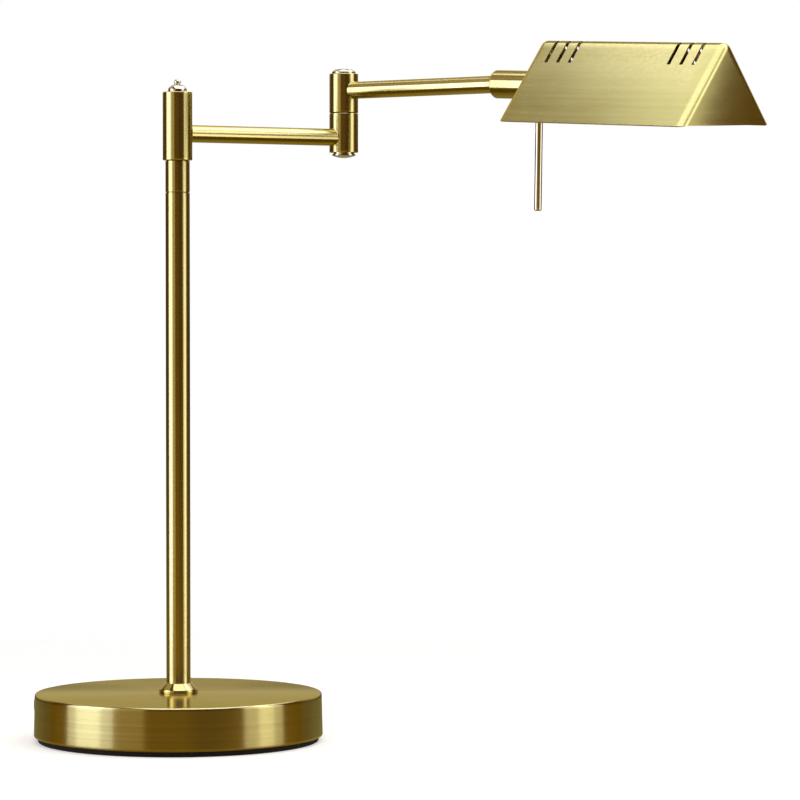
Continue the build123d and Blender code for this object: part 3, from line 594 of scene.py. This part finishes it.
def opal_acrylic():
    """Opal diffuser: milky, with very fine prismatic ribs along the head."""
    material, tree, shader = start_material("opal_acrylic")
    vector = object_vector(tree, HEAD_FRAME)
    patches = place_group(tree, HAND, Vector=vector, Size=0.02).outputs["Patches"]
    tone = mix_colour(tree, patches, (0.80, 0.80, 0.77, 1), (0.86, 0.86, 0.84, 1))
    tree.links.new(tone, shader.inputs["Base Color"])
    tree.links.new(scaled_sum(tree, patches, 0.08, 0.3), shader.inputs["Roughness"])
    ribs = tree.nodes.new("ShaderNodeTexWave")
    ribs.bands_direction = "Y"
    ribs.inputs["Scale"].default_value = 160.0
    tree.links.new(vector, ribs.inputs["Vector"])
    bump(tree, shader, ribs.outputs["Fac"], 0.00012, 0.6)
    return material


# ---------------- stand
def barrel_place(axis_point):
    return Matrix.Translation((axis_point.x, axis_point.y, 0))


def build_base(brass, polished, foam):
    cover_radius, _, _ = node_span("base_cover")
    low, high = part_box("base_cover")
    top, foot, underside = high.z, low.z, high.z - COVER_WALL
    top_radius = cover_radius - COVER_TAPER
    outline = [(COVER_HOLE, top), (top_radius, top), (cover_radius, foot), (cover_radius - COVER_WALL, foot),
               (top_radius - COVER_WALL, underside), (COVER_HOLE, underside)]
    bm = spun(outline, BASE_STEPS, rounds=((1, COVER_RIM), (2, COVER_FOOT)),
              loops=(top - COVER_RIM - WEAR_REACH, foot + COVER_FOOT + WEAR_REACH))
    cutter = bmesh.new()
    inlet_low, inlet_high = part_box("cord_grommet")
    inlet = (inlet_low + inlet_high) / 2
    inlet_way = Vector((inlet.x, inlet.y, 0)).normalized()
    turn = inlet_way.to_track_quat("Z", "Y").to_matrix().to_4x4()
    bmesh.ops.create_cone(cutter, cap_ends=True, segments=48, radius1=INLET_RADIUS, radius2=INLET_RADIUS,
                          depth=INLET_CUT, matrix=Matrix.Translation(inlet) @ turn)
    bm = cut(bm, cutter, "base_cover_cut")
    finished(bm, "base_shell", brass, "stand", ["base_cover"])

    pad_radius, pad_low, pad_high = node_span("base_pad")
    steps = [(0, pad_low), (pad_radius, pad_low), (pad_radius, pad_high), (0, pad_high)]
    bm = spun(steps, BASE_STEPS, rounds=((1, PAD_LOW_EDGE), (2, PAD_TOP_EDGE)), closed=False)
    finished(bm, "foam_foot", foam, "stand", ["base_pad"])

    foot_radius, foot_low, foot_high = node_span("foot_collar")
    pole_radius, _, _ = node_span("pole_tube")
    bore = pole_radius + COLLAR_GAP
    outline = [(bore, foot_low), (foot_radius, foot_low), (foot_radius, foot_low + COLLAR_STEP),
               (pole_radius + COLLAR_LIP, foot_high), (bore, foot_high)]
    bm = spun(outline, rounds=((1, COLLAR_LOW_EDGE), (2, COLLAR_SHOULDER), (3, COLLAR_TOP_EDGE)))
    finished(bm, "pole_foot_collar", polished, "stand", ["foot_collar"])


def build_pole(brass):
    radius, low, high = node_span("pole_tube")
    bore = radius - POLE_WALL
    bm = spun(tube_outline(bore, radius, low, high, POLE_LIP), rounds=((2, SEAM_EDGE),),
              loops=(high - WEAR_REACH,))
    # Painted shade on the pole's top edge and lip, beside its seam with the dimmer ring.
    finished(bm, "pole", brass, "stand", ["pole_tube"], seam_shade_span=(-1, high - SEAM_SHADE_REACH))
    radius, low, high = node_span("dimmer_sleeve")
    bm = spun(tube_outline(SLEEVE_BORE, radius, low, high, POLE_LIP),
              rounds=((1, SEAM_EDGE), (2, SLEEVE_TOP_EDGE)),
              loops=(low + WEAR_REACH, high - WEAR_REACH))
    # Painted shade on both ends of the dimmer ring, beside its seams.
    finished(bm, "dimmer_ring", brass, "dimmer", ["dimmer_sleeve"],
             seam_shade_span=(low + SEAM_SHADE_REACH, high - SEAM_SHADE_REACH))


def build_finial(polished):
    low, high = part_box("finial")
    radius = (high.x - low.x) / 2
    ball = 2.15 * MM
    ball_centre = high.z - ball
    neck = 1.5 * MM
    skirt = low.z + 0.8 * MM
    dome_rise = 4.1 * MM
    steps = 24
    last = pi / 2 - asin(neck / radius)
    dome = [(radius * cos(last * step / steps), skirt + dome_rise * sin(last * step / steps))
            for step in range(steps + 1)]
    neck_angle = asin(neck / ball)
    crown = arc((0, ball_centre), ball, degrees(neck_angle) - 90, 90, steps)[:-1]
    seat = 4.8 * MM
    outline = [(0, low.z - SEAM_LIP), (seat, low.z - SEAM_LIP), (seat, low.z), (radius, low.z)]
    outline += dome + crown + [(0, high.z)]
    bm = spun(outline, closed=False)
    finished(bm, "finial_knob", polished, "stand", ["finial"])


def build_hub(brass):
    radius, low, high = node_span("hub_barrel")
    bore = 8.0 * MM
    lid = 1.5 * MM
    lid_hole = 5.3 * MM
    outline = [(bore, low), (radius, low), (radius, high)]
    outline += [(lid_hole, high), (lid_hole, high - lid), (bore, high - lid)]
    bm = spun(outline, rounds=((1, EDGE), (2, EDGE)),
              loops=(low + EDGE + WEAR_REACH, high - EDGE - WEAR_REACH))
    finished(bm, "hub", brass, "lower_arm", ["hub_barrel"])


# ---------------- arms and elbow
def build_elbow(brass, polished):
    place = barrel_place(elbow_axis)
    for node, name, body, bore, lip in (
            ("elbow_lower_barrel", "elbow_lower", "lower_arm", PIN_RADIUS, ELBOW_LIP),
            ("elbow_upper_barrel", "elbow_upper", "upper_arm", ELBOW_BORE, None)):
        radius, low, high = node_span(node)
        # Painted shade beside the elbow's seam: on the lip of the lower barrel, and on the bottom edge of the
        # upper barrel.
        seam_shade_span = (-1, high + SEAM_LIP / 2) if lip else (low + EDGE * 0.8, 1)
        bm = spun(tube_outline(bore, radius, low, high, lip), rounds=((1, EDGE), (2, EDGE)),
                  loops=(low + EDGE + WEAR_REACH, high - EDGE - WEAR_REACH))
        finished(bm, name, brass, body, [node], place, seam_shade_span=seam_shade_span)

    radius, low, high = node_span("elbow_upper_cap")
    flat = 5.8 * MM
    shoulder = low + 1.1 * MM
    seat = 6.5 * MM
    outline = [(0, low - SEAM_LIP), (seat, low - SEAM_LIP), (seat, low), (radius, low), (radius, shoulder),
               (flat, high), (0, high)]
    rim_edge, shoulder_edge, flat_edge = 0.2 * MM, 0.4 * MM, 0.5 * MM
    bm = spun(outline, rounds=((3, rim_edge), (4, shoulder_edge), (5, flat_edge)), closed=False)
    finished(bm, "elbow_cap_top", polished, "lower_arm", ["elbow_upper_cap"], place)

    radius, low, high = node_span("elbow_lower_cap")
    neck = 7.0 * MM
    neck_height = 0.9 * MM
    rim_height = 1.2 * MM
    rim_edge, bowl_edge = 0.3 * MM, 0.25 * MM
    rim_top = high - neck_height
    rim_low = rim_top - rim_height
    crown = rim_low - low
    sphere = (radius ** 2 + crown ** 2) / (2 * crown)
    spread = asin(radius / sphere)
    bowl = arc((0, low + sphere), sphere, degrees(spread) - 90, -90, 16)[:-1]
    outline = [(0, high), (neck, high), (neck, rim_top), (radius, rim_top)] + bowl + [(0, low)]
    bm = spun(outline, rounds=((3, rim_edge), (4, bowl_edge)), closed=False)
    finished(bm, "elbow_cap_bottom", polished, "lower_arm", ["elbow_lower_cap"], place)


def coped_arm(radius, length, near_barrel, far_barrel, steps=96):
    """Arm tube along local Z from the axis of one barrel to the axis of the next (local Y is up).
    Each end is cut to its barrel's side and flared into a small brazed fillet.
    A far barrel of None leaves that end square."""
    def saddle(barrel, across):
        return sqrt(barrel ** 2 - across ** 2)

    rings = []
    flare = ((0.0, 0.0), (0.12, -0.55), (0.45, -0.9), (1.0, -1.25))   # outwards and back, in fillets
    fillet = [(BRAZE * grow, BRAZE * drop) for grow, drop in flare]
    for grow, drop in reversed(fillet):
        rings.append((radius + grow, near_barrel, 1, drop + BRAZE))
    for grow, drop in (fillet if far_barrel else ()):
        rings.append((radius + grow, far_barrel, -1, drop + BRAZE))
    if far_barrel is None:
        rings.append((radius, None, 0, 0))
    bm = bmesh.new()
    first = bmesh.ops.create_circle(bm, cap_ends=False, segments=steps, radius=radius)["verts"]
    loops = [first]
    edges = list({edge for vert in first for edge in vert.link_edges})
    for _ in rings[1:]:
        made = bmesh.ops.extrude_edge_only(bm, edges=edges)["geom"]
        edges = [item for item in made if isinstance(item, bmesh.types.BMEdge)]
        loops.append([item for item in made if isinstance(item, bmesh.types.BMVert)])
    for loop, (ring_radius, barrel, side, standoff) in zip(loops, rings):
        for vert in loop:
            around = Vector((vert.co.x, vert.co.y, 0)).normalized() * ring_radius
            if barrel is None:
                along = length
            else:
                along = saddle(barrel, around.x) + standoff
                if side < 0:
                    along = length - along
            vert.co = (around.x, around.y, along)
    bmesh.ops.holes_fill(bm, edges=bm.edges, sides=0)
    return bm


def build_arms(lower_brass, upper_brass, lower_place, upper_place):
    hub_radius, _, _ = node_span("hub_barrel")
    elbow_radius, _, _ = node_span("elbow_lower_barrel")
    low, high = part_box("lower_arm_tube")
    radius = (high.z - low.z) / 2
    length = Vector((elbow_axis.x, elbow_axis.y, 0)).length
    bm = coped_arm(radius, length, hub_radius, elbow_radius)
    finished(bm, "arm_lower", lower_brass, "lower_arm", ["lower_arm_tube"], lower_place)
    low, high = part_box("upper_arm_tube")
    bm = coped_arm(radius, high.x - elbow_axis.x, elbow_radius, None)
    finished(bm, "arm_upper", upper_brass, "upper_arm", ["upper_arm_tube"], upper_place)


# ---------------- head
def build_head_collar(brass, polished):
    low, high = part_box("head_collar")
    radius = (high.y - low.y) / 2
    outline = [(HEAD_COLLAR_MOUTH, 0), (radius, 0), (radius, HEAD_COLLAR_LENGTH),
               (HEAD_COLLAR_REAR, HEAD_COLLAR_LENGTH), (HEAD_COLLAR_REAR, HEAD_COLLAR_WEB),
               (HEAD_PIN_HOLE, HEAD_COLLAR_WEB), (HEAD_PIN_HOLE, HEAD_COLLAR_MOUTH_DEPTH),
               (HEAD_COLLAR_MOUTH, HEAD_COLLAR_MOUTH_DEPTH)]
    bm = spun(outline, rounds=((0, HEAD_COLLAR_MOUTH_EDGE), (1, EDGE)), loops=(EDGE + WEAR_REACH,))
    finished(bm, "swivel_collar", brass, "head", ["head_collar"], HEAD_TURNED)

    rod_top = -HEAD_COLLAR_REAR - ROD_GAP
    rod_end = -radius - ROD_LENGTH
    outline = [(0, rod_top), (ROD_RADIUS, rod_top), (ROD_RADIUS, rod_end), (0, rod_end)]
    bm = spun(outline, 64, rounds=((2, ROD_TIP),), loops=(rod_end + ROD_TIP + WEAR_REACH,), closed=False)
    place = HEAD_FRAME @ Matrix.Translation((HEAD_COLLAR_LENGTH - ROD_SETBACK, 0, 0))
    finished(bm, "turning_rod", polished, "head", ["handle_rod"], place)


def build_shade(brass):
    """One folded and welded shell: rounded ridge, softly creased ends, slots across the ridge."""
    half = SHADE_WIDTH / 2
    height = SHADE_APEX + SHADE_DROP
    slope = hypot(half, height)
    start = HEAD_COLLAR_LENGTH
    bm = bmesh.new()
    section = ((-half, -SHADE_DROP), (half, -SHADE_DROP), (0, SHADE_APEX))
    end_face = bm.faces.new([bm.verts.new((start, y, z)) for y, z in section])
    pushed = bmesh.ops.extrude_face_region(bm, geom=[end_face])["geom"]
    moved = [item for item in pushed if isinstance(item, bmesh.types.BMVert)]
    bmesh.ops.translate(bm, verts=moved, vec=(SHADE_LENGTH, 0, 0))
    bmesh.ops.recalc_face_normals(bm, faces=bm.faces)
    ridge = [edge for edge in bm.edges if all(abs(vert.co.z - SHADE_APEX) < 1e-6 for vert in edge.verts)]
    ridge_offset = RIDGE_RADIUS * height / half
    rounded(bm, ridge, ridge_offset, RIDGE_STEPS)
    creases = []
    for edge in bm.edges:
        ends = [vert.co for vert in edge.verts]
        at_end = abs(ends[0].x - ends[1].x) < 1e-6
        lowest = max(point.z for point in ends) < -SHADE_DROP + 1e-6
        if at_end and not lowest:
            creases.append(edge)
    rounded(bm, creases, CREASE_RADIUS, CREASE_STEPS)
    floor = [face for face in bm.faces if face.normal.z < -0.9]
    bmesh.ops.delete(bm, geom=floor, context="FACES")
    for x in (start + CREASE_RADIUS + WEAR_REACH, start + SHADE_LENGTH - CREASE_RADIUS - WEAR_REACH):
        add_loop(bm, (x, 0, 0), (1, 0, 0))
    for z in (-SHADE_DROP + WEAR_REACH, SHADE_APEX - ridge_offset * height / slope - WEAR_REACH * 2):
        add_loop(bm, (0, 0, z), (0, 0, 1))
    bmesh.ops.recalc_face_normals(bm, faces=bm.faces)
    bmesh.ops.solidify(bm, geom=bm.faces, thickness=SHADE_WALL)

    cutter = bmesh.new()
    foot = SHADE_APEX - VENT_REACH * height / slope
    places = [start + FIRST_VENT_INNER + VENT_PITCH * index for index in range(VENT_COUNT)]
    places += [start + SHADE_LENGTH - FIRST_VENT_OUTER - VENT_PITCH * index for index in range(VENT_COUNT)]
    for x in places:
        cube = bmesh.ops.create_cube(cutter, size=1.0)["verts"]
        bmesh.ops.scale(cutter, verts=cube, vec=(VENT_WIDTH, SHADE_WIDTH, 2 * (SHADE_APEX - foot)))
        bmesh.ops.translate(cutter, verts=cube, vec=(x, 0, SHADE_APEX))
    bm = cut(bm, cutter, "shade_cut")
    finished(bm, "shade", brass, "head",
             ["shade_sheet", "shade_inner_end", "shade_outer_end"], HEAD_FRAME, smooth_below=28.0)


def hexagon(flats, bore, low, high):
    """Hexagon nut along local Z with broken corners."""
    bm = bmesh.new()
    across = flats / 2 / cos(pi / 6)
    bmesh.ops.create_cone(bm, cap_ends=True, segments=6, radius1=across, radius2=across, depth=high - low)
    bmesh.ops.translate(bm, verts=bm.verts, vec=(0, 0, (low + high) / 2))
    rounded(bm, bm.edges[:], NUT_CORNER, 2)
    hole = bmesh.new()
    through = 4 * (high - low)
    bmesh.ops.create_cone(hole, cap_ends=True, segments=64, radius1=bore, radius2=bore, depth=through)
    bmesh.ops.translate(hole, verts=hole.verts, vec=(0, 0, (low + high) / 2))
    return cut(bm, hole, "nut_cut")


def build_shade_fixings(steel):
    nut_low = HEAD_COLLAR_LENGTH + SHADE_WALL + BRACKET_SHEET
    bm = hexagon(NUT_FLATS, HEAD_COLLAR_REAR, nut_low, nut_low + NUT_HEIGHT)
    finished(bm, "shade_lock_nut", steel, "head", ["shade_nut"], HEAD_TURNED)

    stop = nut_low + NUT_HEIGHT + NIPPLE_TAIL
    crest = HEAD_COLLAR_REAR - THREAD_EASE
    root = HEAD_COLLAR_REAR - THREAD_DEPTH
    outline = [(NIPPLE_BORE, NIPPLE_START), (root, NIPPLE_START)]
    for turn in range(int((stop - NIPPLE_START) / THREAD_PITCH)):
        low = NIPPLE_START + turn * THREAD_PITCH
        outline += [(crest, low + THREAD_PITCH / 2), (root, low + THREAD_PITCH)]
    outline += [(NIPPLE_BORE, outline[-1][1])]
    bm = spun(outline, 64)
    finished(bm, "shade_thread", steel, "head", ["shade_nipple"], HEAD_TURNED)


def build_tray_screws(steel):
    """Two pan head screws with crossed slots, standing on the bracket."""
    crown_centre = (SCREW_HEAD_RADIUS - SCREW_CROWN, SCREW_SEAT + SCREW_HEAD_HEIGHT - SCREW_CROWN)
    outline = [(0, SCREW_SEAT), (SCREW_HEAD_RADIUS, SCREW_SEAT)]
    outline += arc(crown_centre, SCREW_CROWN, 0, 90, 6)
    outline += [(0, SCREW_SEAT + SCREW_HEAD_HEIGHT)]
    for number, along in enumerate(SCREW_PLACES):
        bm = spun(outline, 48, closed=False)
        cross = bmesh.new()
        for turn in (0, pi / 2):
            bar = bmesh.ops.create_cube(cross, size=1.0)["verts"]
            bmesh.ops.scale(cross, verts=bar, vec=SCREW_SLOT)
            bmesh.ops.rotate(cross, verts=bar, matrix=Matrix.Rotation(turn, 3, "Z"))
            bmesh.ops.translate(cross, verts=bar, vec=(0, 0, SCREW_SEAT + SCREW_SLOT_RISE))
        bm = cut(bm, cross, "screw_cut")
        place = HEAD_FRAME @ Matrix.Translation((HEAD_COLLAR_LENGTH + along, 0, 0))
        replaced = ["tray_screws"] if number == 0 else []
        finished(bm, f"tray_screw_{number + 1}", steel, "head", replaced, place)


def soften_node(node, name, slot, body, edge):
    """Finer copy of a CAD node: its sharp edges are rounded, so that they catch the light."""
    source = frame["nodes"][node]
    bm = bmesh.new()
    bm.from_mesh(source.data)
    bm.transform(source.matrix_world)
    bmesh.ops.remove_doubles(bm, verts=bm.verts, dist=1e-6)
    bmesh.ops.dissolve_limit(bm, angle_limit=radians(0.5), verts=bm.verts, edges=bm.edges)
    sharpest = radians(40)
    sharp = [item for item in bm.edges if item.is_manifold and item.calc_face_angle(0.0) > sharpest]
    rounded(bm, sharp, edge, 2, clamp=True)
    finished(bm, name, FINISHES[slot], body, [node])


def build_light_unit():
    for node, name, slot, edge in (
            ("light_tray", "lamp_tray", "tray_aluminium", 0.2 * MM),
            ("tray_end_caps", "lamp_tray_caps", "white_plastic", 0.4 * MM),
            ("tray_bracket", "lamp_bracket", "zinc_steel", 0.25 * MM),
            ("led_board", "lamp_board", "board_white", 0.12 * MM),
            ("led_chips", "lamp_chips", "chip_yellow", 0.15 * MM),
            ("diffuser", "lamp_diffuser", "diffuser_opal", 0.3 * MM)):
        soften_node(node, name, slot, "head", edge)


def dress_cad_nodes():
    """Puts the finish of its material slot on every CAD node."""
    slot_of = {row["node"]: row["material_slot"] for row in frame["record"]["subparts"]}
    for node, made in frame["nodes"].items():
        made.data.materials.clear()
        made.data.materials.append(FINISHES[slot_of[node]])


# ---------------- the lamp
lower_way = Vector((elbow_axis.x, elbow_axis.y, 0)).normalized()
lower_low, lower_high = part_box("lower_arm_tube")
upper_low, upper_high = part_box("upper_arm_tube")
UP = Vector((0, 0, 1))
lower_start = Vector((0, 0, (lower_low.z + lower_high.z) / 2))
LOWER_PLACE = frame_matrix(lower_start, UP.cross(lower_way), UP, lower_way)
ALONG_X = Vector((1, 0, 0))
upper_start = Vector((elbow_axis.x, elbow_axis.y, (upper_low.z + upper_high.z) / 2))
UPPER_PLACE = frame_matrix(upper_start, UP.cross(ALONG_X), UP, ALONG_X)
ELBOW_PLACE = barrel_place(elbow_axis)

base_brass = satin_brass("brass_base", stretch=(7.0, 7.0, 1500.0), roughness=0.2, anisotropy=0.85,
                         relief=0.25, contrast=1.0)
pole_brass = satin_brass("brass_pole")
elbow_brass = satin_brass("brass_elbow", ELBOW_PLACE)
lower_brass = satin_brass("brass_lower_arm", LOWER_PLACE)
upper_brass = satin_brass("brass_upper_arm", UPPER_PLACE)
head_brass = satin_brass("brass_head_collar", HEAD_TURNED)
shade_brass = satin_brass("brass_shade", HEAD_FRAME, lathe=False, stretch=(12.0, 40.0, 1500.0),
                          roughness=0.18, anisotropy=0.85, wear=0.3, relief=0.1,
                          deep=SHADE_DEEP, light=SHADE_LIGHT, contrast=0.9)
stand_polish = polished_brass("polish_stand")
foot_polish = polished_brass("polish_foot", deep=BRASS_DEEP, light=BRASS_LIGHT, roughness=0.08)
elbow_polish = polished_brass("polish_elbow", ELBOW_PLACE)
head_polish = polished_brass("polish_head", HEAD_FRAME)
foam = foam_pad()
steel = bare_metal("zinc_steel", (0.42, 0.43, 0.45, 1), (0.62, 0.62, 0.60, 1), 0.3)
FINISHES = {
    "satin_brass": pole_brass,
    "polished_brass": stand_polish,
    "pad_foam": foam,
    "zinc_steel": steel,
    "tray_aluminium": bare_metal("tray_aluminium", (0.62, 0.63, 0.65, 1), (0.78, 0.79, 0.80, 1), 0.32),
    "turned_brass": bare_metal("turned_brass", (0.50, 0.34, 0.10, 1), (0.72, 0.54, 0.22, 1), 0.28),
    "iron": bare_metal("cast_iron", (0.035, 0.034, 0.033, 1), (0.09, 0.088, 0.085, 1), 0.55, pitting=2.0),
    "black_rubber": moulded("black_rubber", (0.012, 0.012, 0.012, 1), (0.03, 0.03, 0.03, 1),
                            0.6, 0.004, 0.00005),
    "nylon": moulded("natural_nylon", (0.62, 0.60, 0.52, 1), (0.74, 0.72, 0.66, 1), 0.42, 0.01, 0.00002),
    "white_plastic": moulded("white_plastic", (0.70, 0.70, 0.68, 1), (0.80, 0.80, 0.78, 1),
                             0.38, 0.008, 0.00002),
    "track_plastic": moulded("track_phenolic", (0.03, 0.022, 0.018, 1), (0.06, 0.045, 0.035, 1),
                             0.35, 0.003, 0.00002),
    "board_white": moulded("board_mask", (0.74, 0.75, 0.72, 1), (0.84, 0.85, 0.82, 1), 0.25, 0.006, 0.00001),
    "chip_yellow": moulded("chip_phosphor", (0.78, 0.58, 0.10, 1), (0.90, 0.74, 0.22, 1),
                           0.35, 0.002, 0.00002),
    "diffuser_opal": opal_acrylic(),
    "lead_black": moulded("lead_sleeve", (0.015, 0.015, 0.015, 1), (0.04, 0.04, 0.04, 1),
                          0.45, 0.006, 0.00002),
}
dress_cad_nodes()
build_base(base_brass, foot_polish, foam)
build_pole(pole_brass)
build_finial(stand_polish)
build_hub(pole_brass)
build_elbow(elbow_brass, elbow_polish)
build_arms(lower_brass, upper_brass, LOWER_PLACE, UPPER_PLACE)
build_head_collar(head_brass, head_polish)
build_shade(shade_brass)
build_shade_fixings(steel)
build_tray_screws(steel)
build_light_unit()
soften_node("cord_grommet", "inlet_grommet", "black_rubber", "stand", 0.25 * MM)

# ---------------- camera
CAMERA_PLACE = Vector((1.7739, -1.8384, 0.3064))
CAMERA_HEADING = radians(40.68)   # turned left of +Y
CAMERA_PITCH = radians(-1.808)
CAMERA_LENS = 173.5
camera_data = bpy.data.cameras.new("camera")
camera_data.lens = CAMERA_LENS
camera_data.sensor_width = 36.0
camera = added("camera", camera_data)
camera.location = CAMERA_PLACE
camera.rotation_euler = (pi / 2 + CAMERA_PITCH, 0, CAMERA_HEADING)
bpy.context.scene.camera = camera

# ---------------- studio
FRONT = Vector((sin(CAMERA_HEADING), -cos(CAMERA_HEADING), 0))
RIGHT = Vector((cos(CAMERA_HEADING), sin(CAMERA_HEADING), 0))


def studio_point(azimuth, distance, height):
    """Place in the studio; azimuth is from the front, positive to the right."""
    angle = radians(azimuth)
    return FRONT * cos(angle) * distance + RIGHT * sin(angle) * distance + UP * height


DARK_FLAG = 28             # the darkest part of the room, right of the front
BOX_DISTANCE = 1.3
BOX_HEIGHT = 0.55
HIGH_DISTANCE = 1.04
HIGH_HEIGHT = 1.38
CEILING = 1.7


def soft_light(name, place, turn, width, tall, radiance, tint=(1, 1, 1)):
    """Rectangular soft light, unseen by the camera itself."""
    data = bpy.data.lights.new(name, "AREA")
    data.shape = "RECTANGLE"
    data.size = width
    data.size_y = tall
    data.energy = radiance * width * tall * pi
    data.color = tint
    box = added(name, data)
    box.location = place
    box.rotation_euler = turn
    box.visible_camera = False


def soft_box(name, azimuth, distance, height, width, tall, radiance, tint=(1, 1, 1)):
    """Soft light that faces the lamp from an azimuth."""
    place = studio_point(azimuth, distance, height)
    target = Vector((0, 0, min(height, 0.6)))
    away = (place - target).normalized()
    level = UP.cross(away).normalized()
    turn = Matrix((level, away.cross(level), away)).transposed().to_euler()
    soft_light(name, place, turn, width, tall, radiance, tint)


def overhead_box(name, left, right, back, front, radiance):
    """Soft light under the ceiling, facing straight down; sides measured from the pole."""
    place = RIGHT * (left + right) / 2 - FRONT * (back - front) / 2 + UP * CEILING
    soft_light(name, place, (0, 0, CAMERA_HEADING), right - left, back + front, radiance)


def light_studio():
    cool = (0.84, 0.88, 1.0)
    cream = (1.0, 0.985, 0.9)
    amber = (1.0, 0.84, 0.52)
    core = BOX_DISTANCE - 0.05
    soft_box("left_box", -70.5, BOX_DISTANCE, BOX_HEIGHT, 1.05, 1.3, 1.5, cool)
    soft_box("left_core", -71, core, BOX_HEIGHT, 0.52, 1.3, 1.0, cool)
    soft_box("left_fill", -36, BOX_DISTANCE, BOX_HEIGHT, 0.6, 1.2, 0.36, amber)
    soft_box("left_high_box", -125, HIGH_DISTANCE, HIGH_HEIGHT, 2.0, 0.8, 0.34, amber)
    soft_box("right_box", 73.5, BOX_DISTANCE, BOX_HEIGHT, 0.87, 1.3, 0.86, cream)
    soft_box("right_core", 75, core, BOX_HEIGHT, 0.32, 1.3, 0.7, cream)
    soft_box("right_high_box", 117, HIGH_DISTANCE, HIGH_HEIGHT, 2.0, 0.8, 0.95)
    overhead_box("top_box", -0.575, 1.5, 0.7, 1.5, 1.54)


FRONT_BROWN = (1.0, 0.42, 0.04, 1)
TABLE_OLIVE = (1.0, 0.62, 0.06, 1)
BACK_CREAM = (1.0, 0.91, 0.62, 1)
FLOOR_DEEP = (0.86, 0.88, 0.91, 1)
FLOOR_LIGHT = (0.88, 0.90, 0.93, 1)


def build_world():
    """White to the eye; in reflections, dark in front and softly bright behind the lamp."""
    world = bpy.data.worlds.new("studio")
    world.use_nodes = True
    bpy.context.scene.world = world
    tree = world.node_tree
    tree.nodes.clear()
    out = tree.nodes.new("ShaderNodeOutputWorld")
    direction = tree.nodes.new("ShaderNodeTexCoord").outputs["Generated"]
    back = vector_node(tree, "DOT_PRODUCT", direction, tuple(-FRONT))
    glow = remap(tree, back, 0.45, 0.95, 0.09, 0.54)
    flag = vector_node(tree, "DOT_PRODUCT", direction, tuple(studio_point(DARK_FLAG, 1, 0)))
    glow = math_node(tree, "MULTIPLY", glow, remap(tree, flag, 0.93, 0.985, 1.0, 0.35))
    rise = vector_node(tree, "DOT_PRODUCT", direction, (0, 0, 1))
    edge_on = math_node(tree, "MULTIPLY", remap(tree, back, 0.3, 0.6), remap(tree, rise, 0.07, 0.03))
    edge_glow = remap(tree, rise, -0.1, -0.05, 0.26, 0.04)
    glow = math_node(tree, "MULTIPLY", glow, remap(tree, edge_on, 0.0, 1.0, 1.0, edge_glow))
    under = math_node(tree, "SUBTRACT", math_node(tree, "MULTIPLY", back, 0.5), rise)
    glow = scaled_sum(tree, remap(tree, under, 0.75, 1.0), 0.2, glow)
    table = math_node(tree, "MULTIPLY", remap(tree, rise, -0.05, -0.16), remap(tree, rise, -0.5, -0.25))
    glow = scaled_sum(tree, table, 0.25, glow)
    room = tree.nodes.new("ShaderNodeBackground")
    front_tint = mix_colour(tree, remap(tree, rise, -0.06, -0.11), FRONT_BROWN, TABLE_OLIVE)
    tint = mix_colour(tree, remap(tree, back, 0.45, 0.8), front_tint, BACK_CREAM)
    tree.links.new(tint, room.inputs["Color"])
    tree.links.new(glow, room.inputs["Strength"])
    seen = tree.nodes.new("ShaderNodeBackground")
    seen.inputs["Color"].default_value = (1, 1, 1, 1)
    path = tree.nodes.new("ShaderNodeLightPath")
    mix = tree.nodes.new("ShaderNodeMixShader")
    tree.links.new(path.outputs["Is Camera Ray"], mix.inputs[0])
    tree.links.new(room.outputs[0], mix.inputs[1])
    tree.links.new(seen.outputs[0], mix.inputs[2])
    tree.links.new(mix.outputs[0], out.inputs[0])


def build_floor():
    """Pale round floor that fades into the white around it."""
    bm = bmesh.new()
    bmesh.ops.create_circle(bm, cap_ends=True, segments=128, radius=2.2)
    mesh = mesh_of(bm, "floor")
    material, tree, shader = start_material("floor_pale")
    vector = object_vector(tree)
    tone = mix_colour(tree, noise_node(tree, vector, 6.0, 3.0), FLOOR_DEEP, FLOOR_LIGHT)
    tree.links.new(tone, shader.inputs["Base Color"])
    shader.inputs["Roughness"].default_value = 0.7
    shader.inputs["Specular IOR Level"].default_value = 0.2
    shader.inputs["Emission Color"].default_value = (1, 1, 1, 1)
    shader.inputs["Emission Strength"].default_value = 0.42
    reach = vector_node(tree, "LENGTH", vector)
    fade = remap(tree, reach, 0.12, 0.8)
    clear = tree.nodes.new("ShaderNodeBsdfTransparent")
    mix = tree.nodes.new("ShaderNodeMixShader")
    tree.links.new(fade, mix.inputs[0])
    tree.links.new(shader.outputs[0], mix.inputs[1])
    tree.links.new(clear.outputs[0], mix.inputs[2])
    tree.links.new(mix.outputs[0], tree.nodes["Material Output"].inputs["Surface"])
    mesh.materials.append(material)
    floor = added("floor", mesh)
    floor.visible_glossy = False


light_studio()
build_world()
build_floor()
bpy.context.scene.view_settings.view_transform = "Standard"
